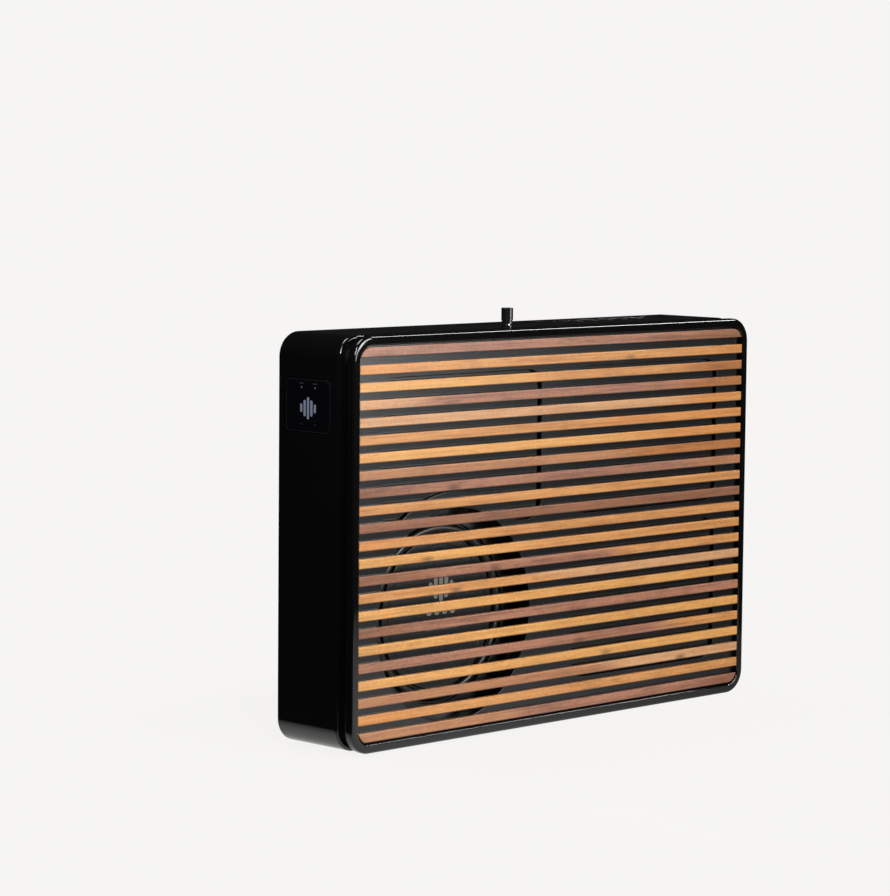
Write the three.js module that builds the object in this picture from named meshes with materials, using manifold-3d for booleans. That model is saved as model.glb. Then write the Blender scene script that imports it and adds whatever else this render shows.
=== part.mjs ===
// A flat active loudspeaker: a gloss cabinet, a slatted wooden front in a slim frame, a recessed
// baffle with a rear-mounted woofer and three flat radiators, a push dial on top and a rear socket bay.
// Millimetres, +Z up. Origin at the middle of the footprint, on the surface that the feet stand on.
// The front looks along -Y and +X is to the right, seen from the front.
import * as THREE from "three";
import { mergeVertices } from "three/addons/utils/BufferGeometryUtils.js";
import Module from "manifold-3d";

const wasm = await Module();
wasm.setup();

// ---- Driving dimensions ----

const width = 480; // cabinet and front frame
const height = 334;
const bodyDepth = 72; // cabinet, front edge to back edge
const channelDepth = 9.5; // shadow gap between the cabinet and the frame
const frameDepth = 7.5; // front frame, front to back
const wall = 7.5; // cabinet wall, and the frame's rail
const cornerRadius = 20; // outer corner, seen from the front
const cabinetFillet = 2.5; // round on the cabinet's front and back edges
const frameFillet = 2.5; // round on the frame's outer front edge
const frameInnerFillet = 1.2;
const fit = 0.3; // clearance between pieces that are bonded or seated

const slatCount = 23;
const slatHeight = 7.8;
const slatThickness = 4;
const slatSetback = 0.5; // slat faces behind the frame's face
const slatEndGap = 1.6; // above the first slat and below the last one
const slatChamfer = 0.5;

const baffleThickness = 20;
const windowSideMargin = 29; // opening's edge to a radiator recess
const windowTopMargin = 27;
const windowMiddleGap = 40;
const windowRowGap = 15.3;
const windowRadius = 16;
const windowLedge = 8; // seat behind each radiator
const recessDepth = 3.3; // baffle face to radiator face
const radiatorThickness = 2;
const exciterRadius = 16;
const exciterDepth = 11;
const exciterMargin = 8; // to the seat's edges, in the window's upper inner corner

const wooferHoleRadius = 88;
const wooferSideMargin = 24; // opening's edge to the hole
const wooferBottomMargin = 6.5;
const wooferRim = 14.5; // land kept between the hole and the recess above it
const flangeLap = 5; // flange seat past the hole's edge
const flangeShow = 12.8; // flange seen inside the hole
const flangeThickness = 3;
const surroundWidth = 11.7; // disc's edge to the flange
const discThickness = 2;
const coilRadius = 19.5;
const coilWall = 0.8;
const coilClearance = 0.9; // between the coil and each side of the magnet's gap
const coilEntry = 6; // coil's end inside the magnet's gap
const wooferStroke = 5; // each way
const driverBackGap = 3.1; // magnet to the rear panel
const magnetRadius = 42;
const magnetDepth = 16;

const ledgeDepth = 10; // battens that the baffle and the rear panel are screwed to
const ledgeReach = 10;
const rearThickness = 6;
const rearSetback = 0.5;

const bayWidth = 150; // socket bay in the rear panel
const bayHeight = 60;
const bayX = 40; // bay's middle, from the cabinet's middle
const bayBottom = 34; // above the cabinet's underside
const plateOverlap = 8; // connector plate past the bay's edge
const plateThickness = 2;

const inletSize = [26, 17];
const inletDepth = 16;
const inletSocket = [18, 9.5, 11];
const rockerSize = [13, 19];
const rockerDepth = 10;
const rockerClearance = 0.8;
const rockerTilt = 8; // degrees each side of level
const socketBlockSize = [58, 26];
const socketBlockDepth = 12;
const barrelRadius = 4.1;
const barrelBore = 1.8;
const barrelPitch = 16;
const pairButtonRadius = 3;
const pairButtonLength = 8;
const pairButtonTravel = 1;
const buttonClearance = 0.3;

const sidePlateDepthSize = 52.5; // front to back
const sidePlateHeight = 43;
const sidePlateTop = 36; // below the cabinet's top
const sidePlateRadius = 5;
const sidePlateThickness = 1.5;
const lightRadius = 0.9;
const lightSpread = 16; // between the two lights
const lightDrop = 7; // below the plate's top edge

const stripLength = 242; // control strip on top
const stripWidth = 30;
const stripThickness = 1.6;
const stripRadius = 4;
const stripLeft = 179; // strip's left end, from the cabinet's left side
const dialInset = 48; // dial's axis, from the strip's left end
const dialRadius = 5;
const dialHeight = 13.5;
const dialTravel = 0.5;
const dialGap = dialTravel + fit; // under the dial
const shaftRadius = 3;
const runningClearance = 0.06;
const bushRadius = 4.2;
const encoderSize = [14, 14, 8];

const footRadius = 9;
const footHeight = 1.2;
const footInset = [62, 18]; // foot's axis from the cabinet's side, and from its front or back edge

// ---- Places that follow from them ----

const depth = frameDepth + channelDepth + bodyDepth;
const frontY = -depth / 2;
const backY = depth / 2;
const cabinetFrontY = backY - bodyDepth;
const underside = footHeight + fit;
const midZ = underside + height / 2;
const topZ = underside + height;
const openingWidth = width - 2 * wall;
const openingHeight = height - 2 * wall;
const openingRadius = cornerRadius - wall;
const slatY = frontY + slatSetback;
const baffleY = slatY + slatThickness + fit;
const baffleBackY = baffleY + baffleThickness;
const radiatorY = baffleY + recessDepth;
const windowWidth = (openingWidth - 2 * windowSideMargin - windowMiddleGap) / 2;
const windowHeight = (openingHeight - 2 * windowTopMargin - windowRowGap) / 2;
const windowX = (windowMiddleGap + windowWidth) / 2;
const windowZ = (windowRowGap + windowHeight) / 2;
const wooferX = -openingWidth / 2 + wooferSideMargin + wooferHoleRadius;
const wooferZ = midZ - openingHeight / 2 + wooferBottomMargin + wooferHoleRadius;
const wooferY = baffleBackY + fit;
const flangeRadius = wooferHoleRadius + flangeLap;
const surroundRadius = wooferHoleRadius - flangeShow;
const discRadius = surroundRadius - surroundWidth;
const slatPitch = (openingHeight - 2 * slatEndGap - slatHeight) / (slatCount - 1);
const rearOuterY = backY - rearSetback;
const rearInnerY = rearOuterY - rearThickness;
const plateY = rearInnerY - fit;
const basketDepth = rearInnerY - driverBackGap - magnetDepth - fit - wooferY;
const plateInnerY = plateY - plateThickness;
const bayZ = underside + bayBottom + bayHeight / 2;
const stripTopZ = topZ - 0.2;
const stripX = -width / 2 + stripLeft + stripLength / 2;
const dialX = -width / 2 + stripLeft + dialInset;
const dialY = cabinetFrontY + bodyDepth / 2;
const sidePlateY = dialY;
const sidePlateZ = topZ - sidePlateTop - sidePlateHeight / 2;

// ---- Shape helpers ----

const arcSteps = 6; // facets on each rounded corner of an outline
const fineTurnSteps = 64; // facets round a hole that shows
const turnSteps = 36; // facets round a turned piece
const smallTurnSteps = 16;

function solidFrom(geometry) {
  const bare = geometry.index ? geometry.toNonIndexed() : geometry.clone();
  bare.deleteAttribute("normal");
  bare.deleteAttribute("uv");
  const merged = mergeVertices(bare, 1e-4);
  const mesh = new wasm.Mesh({
    numProp: 3,
    vertProperties: merged.attributes.position.array,
    triVerts: new Uint32Array(merged.index.array),
  });
  return new wasm.Manifold(mesh);
}

function geometryFrom(solid) {
  const mesh = solid.getMesh();
  const geometry = new THREE.BufferGeometry();
  geometry.setAttribute("position", new THREE.BufferAttribute(new Float32Array(mesh.vertProperties), 3));
  geometry.setIndex(new THREE.BufferAttribute(new Uint32Array(mesh.triVerts), 1));
  const flat = geometry.toNonIndexed();
  flat.computeVertexNormals();
  return flat;
}

function cutFrom(geometry, ...tools) {
  let solid = solidFrom(geometry);
  for (const tool of tools) {
    solid = solid.subtract(solidFrom(tool));
  }
  return geometryFrom(solid);
}

function joined(geometry, ...others) {
  let solid = solidFrom(geometry);
  for (const other of others) {
    solid = solid.add(solidFrom(other));
  }
  return geometryFrom(solid);
}

// Corner points of a rounded rectangle, anticlockwise from the right-hand side.
function roundedPoints(wide, high, radius, steps = arcSteps) {
  const points = [];
  const centres = [[1, 1], [-1, 1], [-1, -1], [1, -1]];
  centres.forEach(([sideX, sideZ], corner) => {
    for (let step = 0; step <= steps; step += 1) {
      const angle = (corner + step / steps) * Math.PI / 2;
      const x = sideX * (wide / 2 - radius) + radius * Math.cos(angle);
      const z = sideZ * (high / 2 - radius) + radius * Math.sin(angle);
      points.push(new THREE.Vector2(x, z));
    }
  });
  return points;
}

function roundedShape(wide, high, radius, x = 0, z = 0) {
  const points = roundedPoints(wide, high, radius);
  return new THREE.Shape(points.map((point) => new THREE.Vector2(point.x + x, point.y + z)));
}

// A flat piece standing in the XZ plane, from one depth to another.
function upright(shape, fromY, toY) {
  const geometry = new THREE.ExtrudeGeometry(shape, { depth: toY - fromY, bevelEnabled: false });
  geometry.rotateX(Math.PI / 2);
  geometry.translate(0, toY, 0);
  return geometry;
}

// A flat piece lying in the XY plane, from one height to another.
function lying(shape, fromZ, toZ) {
  const geometry = new THREE.ExtrudeGeometry(shape, { depth: toZ - fromZ, bevelEnabled: false });
  geometry.translate(0, 0, fromZ);
  return geometry;
}

// A flat piece in the YZ plane, from one X to another. The shape's x runs along Y.
function sideways(shape, fromX, toX) {
  const geometry = new THREE.ExtrudeGeometry(shape, { depth: toX - fromX, bevelEnabled: false });
  geometry.rotateX(Math.PI / 2);
  geometry.rotateZ(Math.PI / 2);
  geometry.translate(fromX, 0, 0);
  return geometry;
}

function block(sizeX, sizeY, sizeZ, x, y, z) {
  return new THREE.BoxGeometry(sizeX, sizeY, sizeZ).translate(x, y, z);
}

// A closed section of [inset, y] corners, anticlockwise, carried round the cabinet's outline.
function ringOf(section) {
  const outlines = section.map(([inset, y]) => {
    const points = roundedPoints(width - 2 * inset, height - 2 * inset, cornerRadius - inset);
    return points.map((point) => [point.x, y, point.y + midZ]);
  });
  const around = outlines[0].length;
  const positions = outlines.flat(2);
  const index = [];
  section.forEach((corner, ring) => {
    const next = (ring + 1) % section.length;
    for (let step = 0; step < around; step += 1) {
      const after = (step + 1) % around;
      const a = ring * around + step;
      const b = ring * around + after;
      const c = next * around + after;
      const d = next * around + step;
      index.push(a, b, c, a, c, d);
    }
  });
  const geometry = new THREE.BufferGeometry();
  geometry.setAttribute("position", new THREE.Float32BufferAttribute(positions, 3));
  geometry.setIndex(index);
  return geometryFrom(solidFrom(geometry));
}

// Quarter-round corners of a section, from one direction to the next, in degrees.
function fillet(inset, y, radius, fromAngle, toAngle, steps = 4) {
  const corners = [];
  for (let step = 0; step <= steps; step += 1) {
    const angle = THREE.MathUtils.degToRad(fromAngle + (toAngle - fromAngle) * step / steps);
    corners.push([inset + radius * Math.cos(angle), y + radius * Math.sin(angle)]);
  }
  return corners;
}

// A piece turned about a line along Y. The profile's second value runs to the back.
function turned(profile, x, y, z, steps = turnSteps) {
  const points = profile.map(([radius, along]) => new THREE.Vector2(radius, along));
  return new THREE.LatheGeometry(points, steps).translate(x, y, z);
}

// A piece turned about a vertical line. The profile's second value runs upwards.
function spun(profile, x, y, z, steps = smallTurnSteps) {
  const points = profile.map(([radius, up]) => new THREE.Vector2(radius, up));
  return new THREE.LatheGeometry(points, steps).rotateX(Math.PI / 2).translate(x, y, z);
}

function ringProfile(inner, outer, from, to) {
  return [[inner, from], [outer, from], [outer, to], [inner, to], [inner, from]];
}

function discProfile(radius, from, to) {
  return [[0, from], [radius, from], [radius, to], [0, to]];
}

// ---- Finishes ----

function finish(color, roughness, metalness = 0) {
  return () => new THREE.MeshStandardMaterial({ color, roughness, metalness });
}

const pianoBlack = finish(0x08080a, 0.08);
const satinGrey = finish(0x4a4b4d, 0.55);
const mattBlack = finish(0x151515, 0.8);
const panelBlack = finish(0x0c0c12, 0.12);
const honeyWood = finish(0xc9945a, 0.5);
const walnutWood = finish(0x8a5f48, 0.5);
const rubberBlack = finish(0x1a1a1a, 0.9);
const plastic = finish(0x202022, 0.5);
const zinc = finish(0x9a9a98, 0.4, 0.9);
const ferrite = finish(0x2b2b2e, 0.7, 0.2);
const copper = finish(0xb06a3a, 0.35, 0.9);
const aluminium = finish(0xb4b6b8, 0.35, 0.9);
const boardGreen = finish(0x1f5a3a, 0.5);
const foamGrey = finish(0x6a6a6c, 0.95);
const lightLens = finish(0xd8e4f0, 0.2);
const nylonCloth = finish(0xc08a3c, 0.8);

const speaker = new THREE.Group();

function add(name, geometry, material) {
  const mesh = new THREE.Mesh(geometry, material());
  mesh.name = name;
  speaker.add(mesh);
}

// ---- Cabinet ----

function ledge(fromY) {
  const section = [[wall - 1, fromY], [wall + ledgeReach, fromY]];
  section.push([wall + ledgeReach, fromY + ledgeDepth], [wall - 1, fromY + ledgeDepth]);
  return ringOf(section);
}

function cabinetShell() {
  const section = [
    ...fillet(cabinetFillet, cabinetFrontY + cabinetFillet, cabinetFillet, 180, 270),
    [wall, cabinetFrontY],
    [wall, backY],
    ...fillet(cabinetFillet, backY - cabinetFillet, cabinetFillet, 90, 180),
  ];
  const withLedges = joined(ringOf(section), ledge(wooferY), ledge(plateY - ledgeDepth));
  const platePocket = roundedShape(
    sidePlateDepthSize + 2 * fit, sidePlateHeight + 2 * fit, sidePlateRadius + fit, sidePlateY, sidePlateZ);
  const stripPocket = roundedShape(
    stripLength + 2 * fit, stripWidth + 2 * fit, stripRadius + fit, stripX, dialY);
  const outside = -width / 2;
  const pocketDepth = sidePlateThickness + fit;
  const wireHole = block(wall * 3, 10, 8, outside, sidePlateY, sidePlateZ);
  const flangeRoom = discProfile(flangeRadius + fit, -1, ledgeDepth + 1);
  return cutFrom(
    withLedges,
    sideways(platePocket, outside - 1, outside + pocketDepth),
    wireHole,
    turned(flangeRoom, wooferX, wooferY, wooferZ),
    lying(stripPocket, stripTopZ - stripThickness - fit, topZ + 1),
    spun(discProfile(bushRadius + fit, -wall * 2, 1), dialX, dialY, topZ),
  );
}

function rearPanel() {
  const outline = roundedShape(
    openingWidth - 2 * fit, openingHeight - 2 * fit, openingRadius - fit, 0, midZ);
  const bay = roundedShape(bayWidth, bayHeight, 4, bayX, bayZ);
  return cutFrom(upright(outline, rearInnerY, rearOuterY), upright(bay, rearInnerY - 1, rearOuterY + 1));
}

function frontFrame() {
  const backChamfer = 0.6;
  const backOfFrame = frontY + frameDepth;
  const section = [
    ...fillet(frameFillet, frontY + frameFillet, frameFillet, 180, 270),
    ...fillet(wall - frameInnerFillet, frontY + frameInnerFillet, frameInnerFillet, 270, 360, 3),
    [wall, backOfFrame],
    [backChamfer, backOfFrame],
    [0, backOfFrame - backChamfer],
  ];
  return ringOf(section);
}

// ---- Wooden front ----

function slat(place) {
  const high = slatHeight;
  const long = openingWidth - 2 * fit;
  const back = slatY + slatThickness;
  const z = midZ + openingHeight / 2 - slatEndGap - slatHeight / 2 - place * slatPitch;
  const section = new THREE.Shape([
    new THREE.Vector2(slatY + slatChamfer, -high / 2),
    new THREE.Vector2(back, -high / 2),
    new THREE.Vector2(back, high / 2),
    new THREE.Vector2(slatY + slatChamfer, high / 2),
    new THREE.Vector2(slatY, high / 2 - slatChamfer),
    new THREE.Vector2(slatY, slatChamfer - high / 2),
  ]);
  const bar = sideways(section, -long / 2, long / 2).translate(0, 0, z);
  if (place > 0 && place < slatCount - 1) {
    return bar;
  }
  // The first and the last slat follow the frame's rounded corners.
  const inside = openingRadius - slatEndGap;
  const outline = roundedShape(long, openingHeight - 2 * slatEndGap, inside, 0, midZ);
  const field = solidFrom(upright(outline, slatY - 1, back + 1));
  return geometryFrom(solidFrom(bar).intersect(field));
}

// ---- Baffle and radiators ----

const windows = {
  upper_left: [-windowX, midZ + windowZ],
  upper_right: [windowX, midZ + windowZ],
  lower_right: [windowX, midZ - windowZ],
};

// A recess from one depth to another, cut back from the woofer's rim where it comes close to it.
function windowBlock([x, z], inset, fromY, toY) {
  const outline = roundedShape(
    windowWidth - 2 * inset, windowHeight - 2 * inset, windowRadius - inset, x, z);
  const rim = discProfile(wooferHoleRadius + wooferRim + inset, fromY - 1, toY + 1);
  return cutFrom(upright(outline, fromY, toY), turned(rim, wooferX, 0, wooferZ, fineTurnSteps));
}

function baffle() {
  const outline = roundedShape(
    openingWidth - 2 * fit, openingHeight - 2 * fit, openingRadius - fit, 0, midZ);
  const seat = radiatorY + radiatorThickness + fit;
  const tools = [];
  for (const place of Object.values(windows)) {
    tools.push(windowBlock(place, 0, baffleY - 1, seat));
    tools.push(windowBlock(place, windowLedge, seat - 1, baffleBackY + 1));
  }
  const hole = discProfile(wooferHoleRadius, -1, baffleThickness + 1);
  tools.push(turned(hole, wooferX, baffleY, wooferZ, fineTurnSteps));
  return cutFrom(upright(outline, baffleY, baffleBackY), ...tools);
}

function radiator(place) {
  return windowBlock(place, fit, radiatorY, radiatorY + radiatorThickness);
}

function exciter([x, z]) {
  const inset = windowLedge + exciterRadius + exciterMargin;
  const ringRadius = exciterRadius - 3.2; // the ring glued to the radiator
  const ringDepth = 3;
  const cup = [
    [0, 0], [ringRadius, 0], [ringRadius, ringDepth], [exciterRadius, ringDepth],
    [exciterRadius, exciterDepth - 1], [exciterRadius - 1, exciterDepth], [0, exciterDepth],
  ];
  const y = radiatorY + radiatorThickness + fit;
  const cupX = Math.sign(x) * (windowMiddleGap / 2 + inset);
  return turned(cup, cupX, y, z + windowHeight / 2 - inset, smallTurnSteps);
}

// ---- Woofer, on an axis along Y ----

const spiderBack = 20; // spider's rear face, behind the flange's face
const spiderOuter = 40;
const spiderThickness = 1.2;
const spiderWave = 0.8; // height of its corrugations, each way
const coneReach = spiderBack - spiderThickness - spiderWave - fit;
const coilFront = coneReach + fit;
const coilLength = basketDepth + fit + coilEntry - coilFront;

function woofer(profile, steps = turnSteps) {
  return turned(profile, wooferX, wooferY, wooferZ, steps);
}

function basket() {
  const seat = spiderOuter + fit;
  const neck = coilRadius + coilWall + coilClearance + 6;
  const shelf = basketDepth - 2.5; // floor that carries the magnet
  const spiderSeat = spiderBack + fit;
  const inside = surroundRadius + fit;
  const metal = 4; // wall of the casting
  const shell = woofer([
    [inside, 0], [flangeRadius, 0], [flangeRadius, flangeThickness],
    [inside + metal + 2, flangeThickness], [inside + metal, 10], [seat + 2 * metal, spiderBack + metal],
    [seat + metal, basketDepth], [neck, basketDepth], [neck, shelf],
    [seat, shelf], [seat, spiderSeat], [seat + metal, spiderSeat],
    [inside, 8], [inside, 0],
  ]);
  const count = 6;
  const openingSize = [34, 17, 60];
  const openingDepth = 28; // middle of each vent, behind the flange's face
  const openings = [];
  for (let spoke = 0; spoke < count; spoke += 1) {
    const opening = block(...openingSize, 0, wooferY + openingDepth, surroundRadius - 13);
    opening.rotateY(2 * Math.PI * spoke / count);
    openings.push(opening.translate(wooferX, 0, wooferZ));
  }
  return cutFrom(shell, ...openings);
}

function surround() {
  const inner = discRadius + fit;
  const outer = surroundRadius;
  const middle = (inner + outer) / 2;
  const roll = (outer - inner) / 2 - 1;
  const bulge = 0.8; // the roll's height, as a share of its half width
  const thick = 1;
  const level = 2; // front of the roll's two lips, behind the flange's face
  const steps = 5;
  const front = [];
  const back = [];
  for (let step = 0; step <= steps; step += 1) {
    const angle = Math.PI * step / steps;
    const away = Math.cos(angle);
    const rise = bulge * Math.sin(angle);
    front.push([middle - roll * away, level - roll * rise]);
    back.unshift([middle - (roll - thick) * away, level + fit - (roll - thick) * rise]);
  }
  const rear = level + thick;
  return woofer([
    [inner, level], ...front, [outer, level], [outer, rear], ...back, [inner, rear], [inner, level],
  ]);
}

function diaphragm() {
  const neck = coilRadius + coilWall;
  const edge = 0.8; // bevel round the disc
  const coneWidth = 22;
  const coneWall = 2;
  return woofer([
    [0, 0], [discRadius - edge, 0], [discRadius, edge], [discRadius, discThickness],
    [neck + coneWidth, discThickness], [neck, coneReach], [neck - coneWall, coneReach],
    [neck + coneWidth - 2 * coneWall, discThickness + 1], [0, discThickness + 1],
  ]);
}

function voiceCoil() {
  const tube = ringProfile(coilRadius, coilRadius + coilWall, coilFront, coilFront + coilLength);
  return woofer(tube, smallTurnSteps * 2);
}

function spider() {
  const inner = coilRadius + coilWall + fit;
  const waves = 3;
  const steps = 2 * waves;
  const front = [];
  const back = [];
  for (let step = 0; step <= steps; step += 1) {
    const share = step / steps;
    const radius = inner + (spiderOuter - inner) * share;
    const wave = spiderWave * Math.cos(2 * Math.PI * waves * share);
    front.push([radius, spiderBack - spiderThickness + wave]);
    back.unshift([radius, spiderBack + wave]);
  }
  return woofer([...front, ...back, front[0]], smallTurnSteps * 2);
}

function magnet() {
  const from = basketDepth + fit;
  const to = from + magnetDepth;
  const pole = coilRadius - coilClearance;
  const poleFront = from - 2;
  const bore = coilRadius + coilWall + coilClearance;
  const coilRoom = coilFront + coilLength + wooferStroke + 1;
  const gapEnd = Math.min(coilRoom, to - 3);
  const edge = 2; // bevel at the back
  return woofer([
    [0, poleFront], [pole, poleFront], [pole, gapEnd], [bore, gapEnd],
    [bore, from], [magnetRadius, from], [magnetRadius, to - edge], [magnetRadius - edge, to], [0, to],
  ]);
}

// ---- Controls ----

function controlStrip() {
  const outline = roundedShape(stripLength, stripWidth, stripRadius, stripX, dialY);
  const hole = spun(discProfile(shaftRadius + 0.6, -stripThickness - 1, 1), dialX, dialY, stripTopZ);
  return cutFrom(lying(outline, stripTopZ - stripThickness, stripTopZ), hole);
}

const dialTop = dialGap + dialHeight; // these heights are above the strip
const shaftTop = dialTop - 3;
const shaftBottom = -stripThickness - wall - encoderSize[2] + 2;
const rotorInner = shaftRadius + runningClearance;
const rotorOuter = shaftRadius + 2;

function dial() {
  const bore = shaftRadius + runningClearance;
  const edge = 0.5;
  const boreTop = shaftTop + fit;
  return spun([
    [0, boreTop], [bore, boreTop], [bore, dialGap], [dialRadius, dialGap],
    [dialRadius, dialTop - edge], [dialRadius - edge, dialTop], [0, dialTop],
  ], dialX, dialY, stripTopZ, turnSteps);
}

function dialShaft() {
  return spun(discProfile(shaftRadius, shaftBottom, shaftTop), dialX, dialY, stripTopZ);
}

const encoderTop = -wall - fit; // below the cabinet's top
const rotorThickness = 2.5;
const rotorFrom = encoderTop - encoderSize[2] + 3;
const rotorTo = rotorFrom + rotorThickness;

function encoderRotor() {
  return spun(ringProfile(rotorInner, rotorOuter, rotorFrom, rotorTo), dialX, dialY, topZ);
}

function encoderBody() {
  const [sizeX, sizeY, sizeZ] = encoderSize;
  const body = block(sizeX, sizeY, sizeZ, dialX, dialY, topZ + encoderTop - sizeZ / 2);
  const bush = spun(discProfile(bushRadius, encoderTop - 1, -stripThickness - 1), dialX, dialY, topZ);
  const bore = spun(discProfile(rotorInner, encoderTop - sizeZ - 1, 1), dialX, dialY, topZ);
  const hollow = spun(discProfile(rotorOuter + fit, rotorFrom - fit, rotorTo + fit), dialX, dialY, topZ);
  return cutFrom(joined(body, bush), bore, hollow);
}

// ---- Side plate ----

const lightPlaces = [-1, 1].map((side) => [
  sidePlateY + side * lightSpread / 2, sidePlateZ + sidePlateHeight / 2 - lightDrop,
]);

function across(radius, from, to, [y, z]) {
  return spun(discProfile(radius, from, to), 0, 0, 0).rotateY(Math.PI / 2).translate(0, y, z);
}

function sidePlate() {
  const outline = roundedShape(
    sidePlateDepthSize, sidePlateHeight, sidePlateRadius, sidePlateY, sidePlateZ);
  const outside = -width / 2;
  const holes = lightPlaces.map((place) => across(lightRadius + 0.15, outside - 1, outside + 3, place));
  return cutFrom(sideways(outline, outside, outside + sidePlateThickness), ...holes);
}

function light(place) {
  return across(lightRadius, -width / 2, -width / 2 + sidePlateThickness, place);
}

// ---- Socket bay ----

const bayPlaces = { // along X
  inlet: bayX + 55,
  rocker: bayX + 28,
  sockets: bayX - 18,
  button: bayX - 62,
};

const barrelPlaces = [-1, 0, 1].map((side) => bayPlaces.sockets + side * barrelPitch);

// A round bar along Y at a place in the bay.
function bar(radius, x, fromY, toY) {
  return turned(discProfile(radius, fromY, toY), x, 0, bayZ, smallTurnSteps);
}

function connectorPlate() {
  const outline = roundedShape(
    bayWidth + 2 * plateOverlap, bayHeight + 2 * plateOverlap, 4, bayX, bayZ);
  const through = 10;
  const rockerHole = rockerSize.map((size) => size + 2 * rockerClearance);
  const from = plateInnerY - 1;
  const to = plateY + 1;
  return cutFrom(
    upright(outline, plateInnerY, plateY),
    block(inletSize[0], through, inletSize[1], bayPlaces.inlet, plateY, bayZ),
    block(rockerHole[0], through, rockerHole[1], bayPlaces.rocker, plateY, bayZ),
    ...barrelPlaces.map((x) => bar(barrelRadius + fit, x, from, to)),
    bar(pairButtonRadius + buttonClearance, bayPlaces.button, from, to),
  );
}

function mainsInlet() {
  const [wide, high] = inletSize;
  const flangeY = plateY + fit;
  const flangeBack = flangeY + 2;
  const rim = 6; // flange past the body, both sides together
  const x = bayPlaces.inlet;
  const body = block(wide - 2 * fit, inletDepth, high - 2 * fit, x, flangeY - inletDepth / 2, bayZ);
  const flange = upright(roundedShape(wide + rim, high + rim, 3, x, bayZ), flangeY, flangeBack);
  const [socketWide, socketHigh, socketDepth] = inletSocket;
  const outline = roundedShape(socketWide, socketHigh, socketHigh / 2 - 0.2, x, bayZ);
  return cutFrom(joined(body, flange), upright(outline, flangeBack - socketDepth, flangeBack + 1));
}

// A shallow V seen from the side, resting with its lower half pressed in.
function powerRocker() {
  const [wide, high] = rockerSize;
  const tip = 2.2; // the V's ends, proud of the plate
  const valley = 0.6;
  const shoulder = 3; // where the sides start to close in, behind the plate
  const taper = 0.6;
  const heel = 3; // half height at the inner end
  const section = new THREE.Shape([
    new THREE.Vector2(-rockerDepth, -heel),
    new THREE.Vector2(-shoulder, taper - high / 2),
    new THREE.Vector2(tip, -high / 2),
    new THREE.Vector2(valley, 0),
    new THREE.Vector2(tip, high / 2),
    new THREE.Vector2(-shoulder, high / 2 - taper),
    new THREE.Vector2(-rockerDepth, heel),
  ]);
  const geometry = sideways(section, -wide / 2, wide / 2);
  geometry.rotateX(THREE.MathUtils.degToRad(rockerTilt));
  return geometry.translate(bayPlaces.rocker, plateY, bayZ);
}

function socketBlock() {
  const [wide, high] = socketBlockSize;
  const inner = plateInnerY - fit;
  const body = block(wide, socketBlockDepth, high, bayPlaces.sockets, inner - socketBlockDepth / 2, bayZ);
  const barrelEnd = rearOuterY - 0.5;
  const boreDepth = 6; // past the plate
  const barrels = barrelPlaces.map((x) => bar(barrelRadius, x, inner - 1, barrelEnd));
  const bores = barrelPlaces.map((x) => bar(barrelBore, x, inner - boreDepth, barrelEnd + 1));
  return cutFrom(joined(body, ...barrels), ...bores);
}

function pairButton() {
  const end = plateY + pairButtonTravel + 1;
  return bar(pairButtonRadius, bayPlaces.button, end - pairButtonLength, end);
}

// ---- Electronics and lining ----

const boardThickness = 1.6;
const boardSize = [150, 96];
const boardX = 130;
const boardZ = midZ + 38;
const boardY = plateInnerY - 16;

function canOn(x, y, z, radius, tall) {
  return turned(discProfile(radius, -tall, 0), x, y, z, smallTurnSteps);
}

function amplifierBoard() {
  const [wide, high] = boardSize;
  const board = block(wide, boardThickness, high, boardX, boardY, boardZ);
  const capacitors = [[-52, -30, 8, 20], [-30, -30, 8, 20], [-8, -34, 5, 12], [46, 34, 6, 14]];
  const boxes = [[12, -4, 24, 8, 24], [-50, 30, 12, 10, 12], [46, -36, 40, 9, 7]];
  const parts = capacitors.map(([x, z, radius, tall]) =>
    canOn(boardX + x, boardY, boardZ + z, radius, tall));
  for (const [x, z, sizeX, sizeY, sizeZ] of boxes) {
    parts.push(block(sizeX, sizeY, sizeZ, boardX + x, boardY - sizeY / 2, boardZ + z));
  }
  return joined(board, ...parts);
}

function heatSink() {
  const [wide, high] = [110, 60];
  const baseThickness = 3;
  const finThickness = 2;
  const finCount = 8;
  const from = boardY + boardThickness / 2 + fit;
  const to = rearInnerY - 2;
  const base = block(wide, baseThickness, high, boardX, from + baseThickness / 2, boardZ);
  const spread = wide - 3 * finThickness;
  const fins = [];
  for (let fin = 0; fin < finCount; fin += 1) {
    const x = boardX + spread * (fin / (finCount - 1) - 0.5);
    fins.push(block(finThickness, to - from, high, x, (from + to) / 2, boardZ));
  }
  return joined(base, ...fins);
}

function powerSupply() {
  const [wide, high] = [104, 44];
  const [coreWide, coreDeep, coreHigh] = [32, 24, 28];
  const x = bayX - 20;
  const y = plateInnerY - 14;
  const z = bayZ + bayHeight / 2 + plateOverlap + high / 2 + 4;
  return joined(
    block(wide, boardThickness, high, x, y, z),
    block(coreWide, coreDeep, coreHigh, x - 20, y - coreDeep / 2, z),
    canOn(x + 20, y, z + 6, 9, 16),
    canOn(x + 40, y, z - 8, 8, 22),
  );
}

function dampingPad() {
  const thickness = 22;
  const back = rearInnerY - fit;
  const outline = roundedShape(150, 74, 10, 4 - windowX, midZ + windowZ + 18);
  return upright(outline, back - thickness, back);
}

function foot(sideX, sideY) {
  const x = sideX * (width / 2 - footInset[0]);
  const y = sideY < 0 ? cabinetFrontY + footInset[1] : backY - footInset[1];
  return spun(discProfile(footRadius, 0, footHeight), x, y, 0);
}

// ---- Assembly ----

add("cabinet_shell", cabinetShell(), pianoBlack);
add("rear_panel", rearPanel(), mattBlack);
add("front_frame", frontFrame(), pianoBlack);
add("baffle", baffle(), satinGrey);

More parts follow.
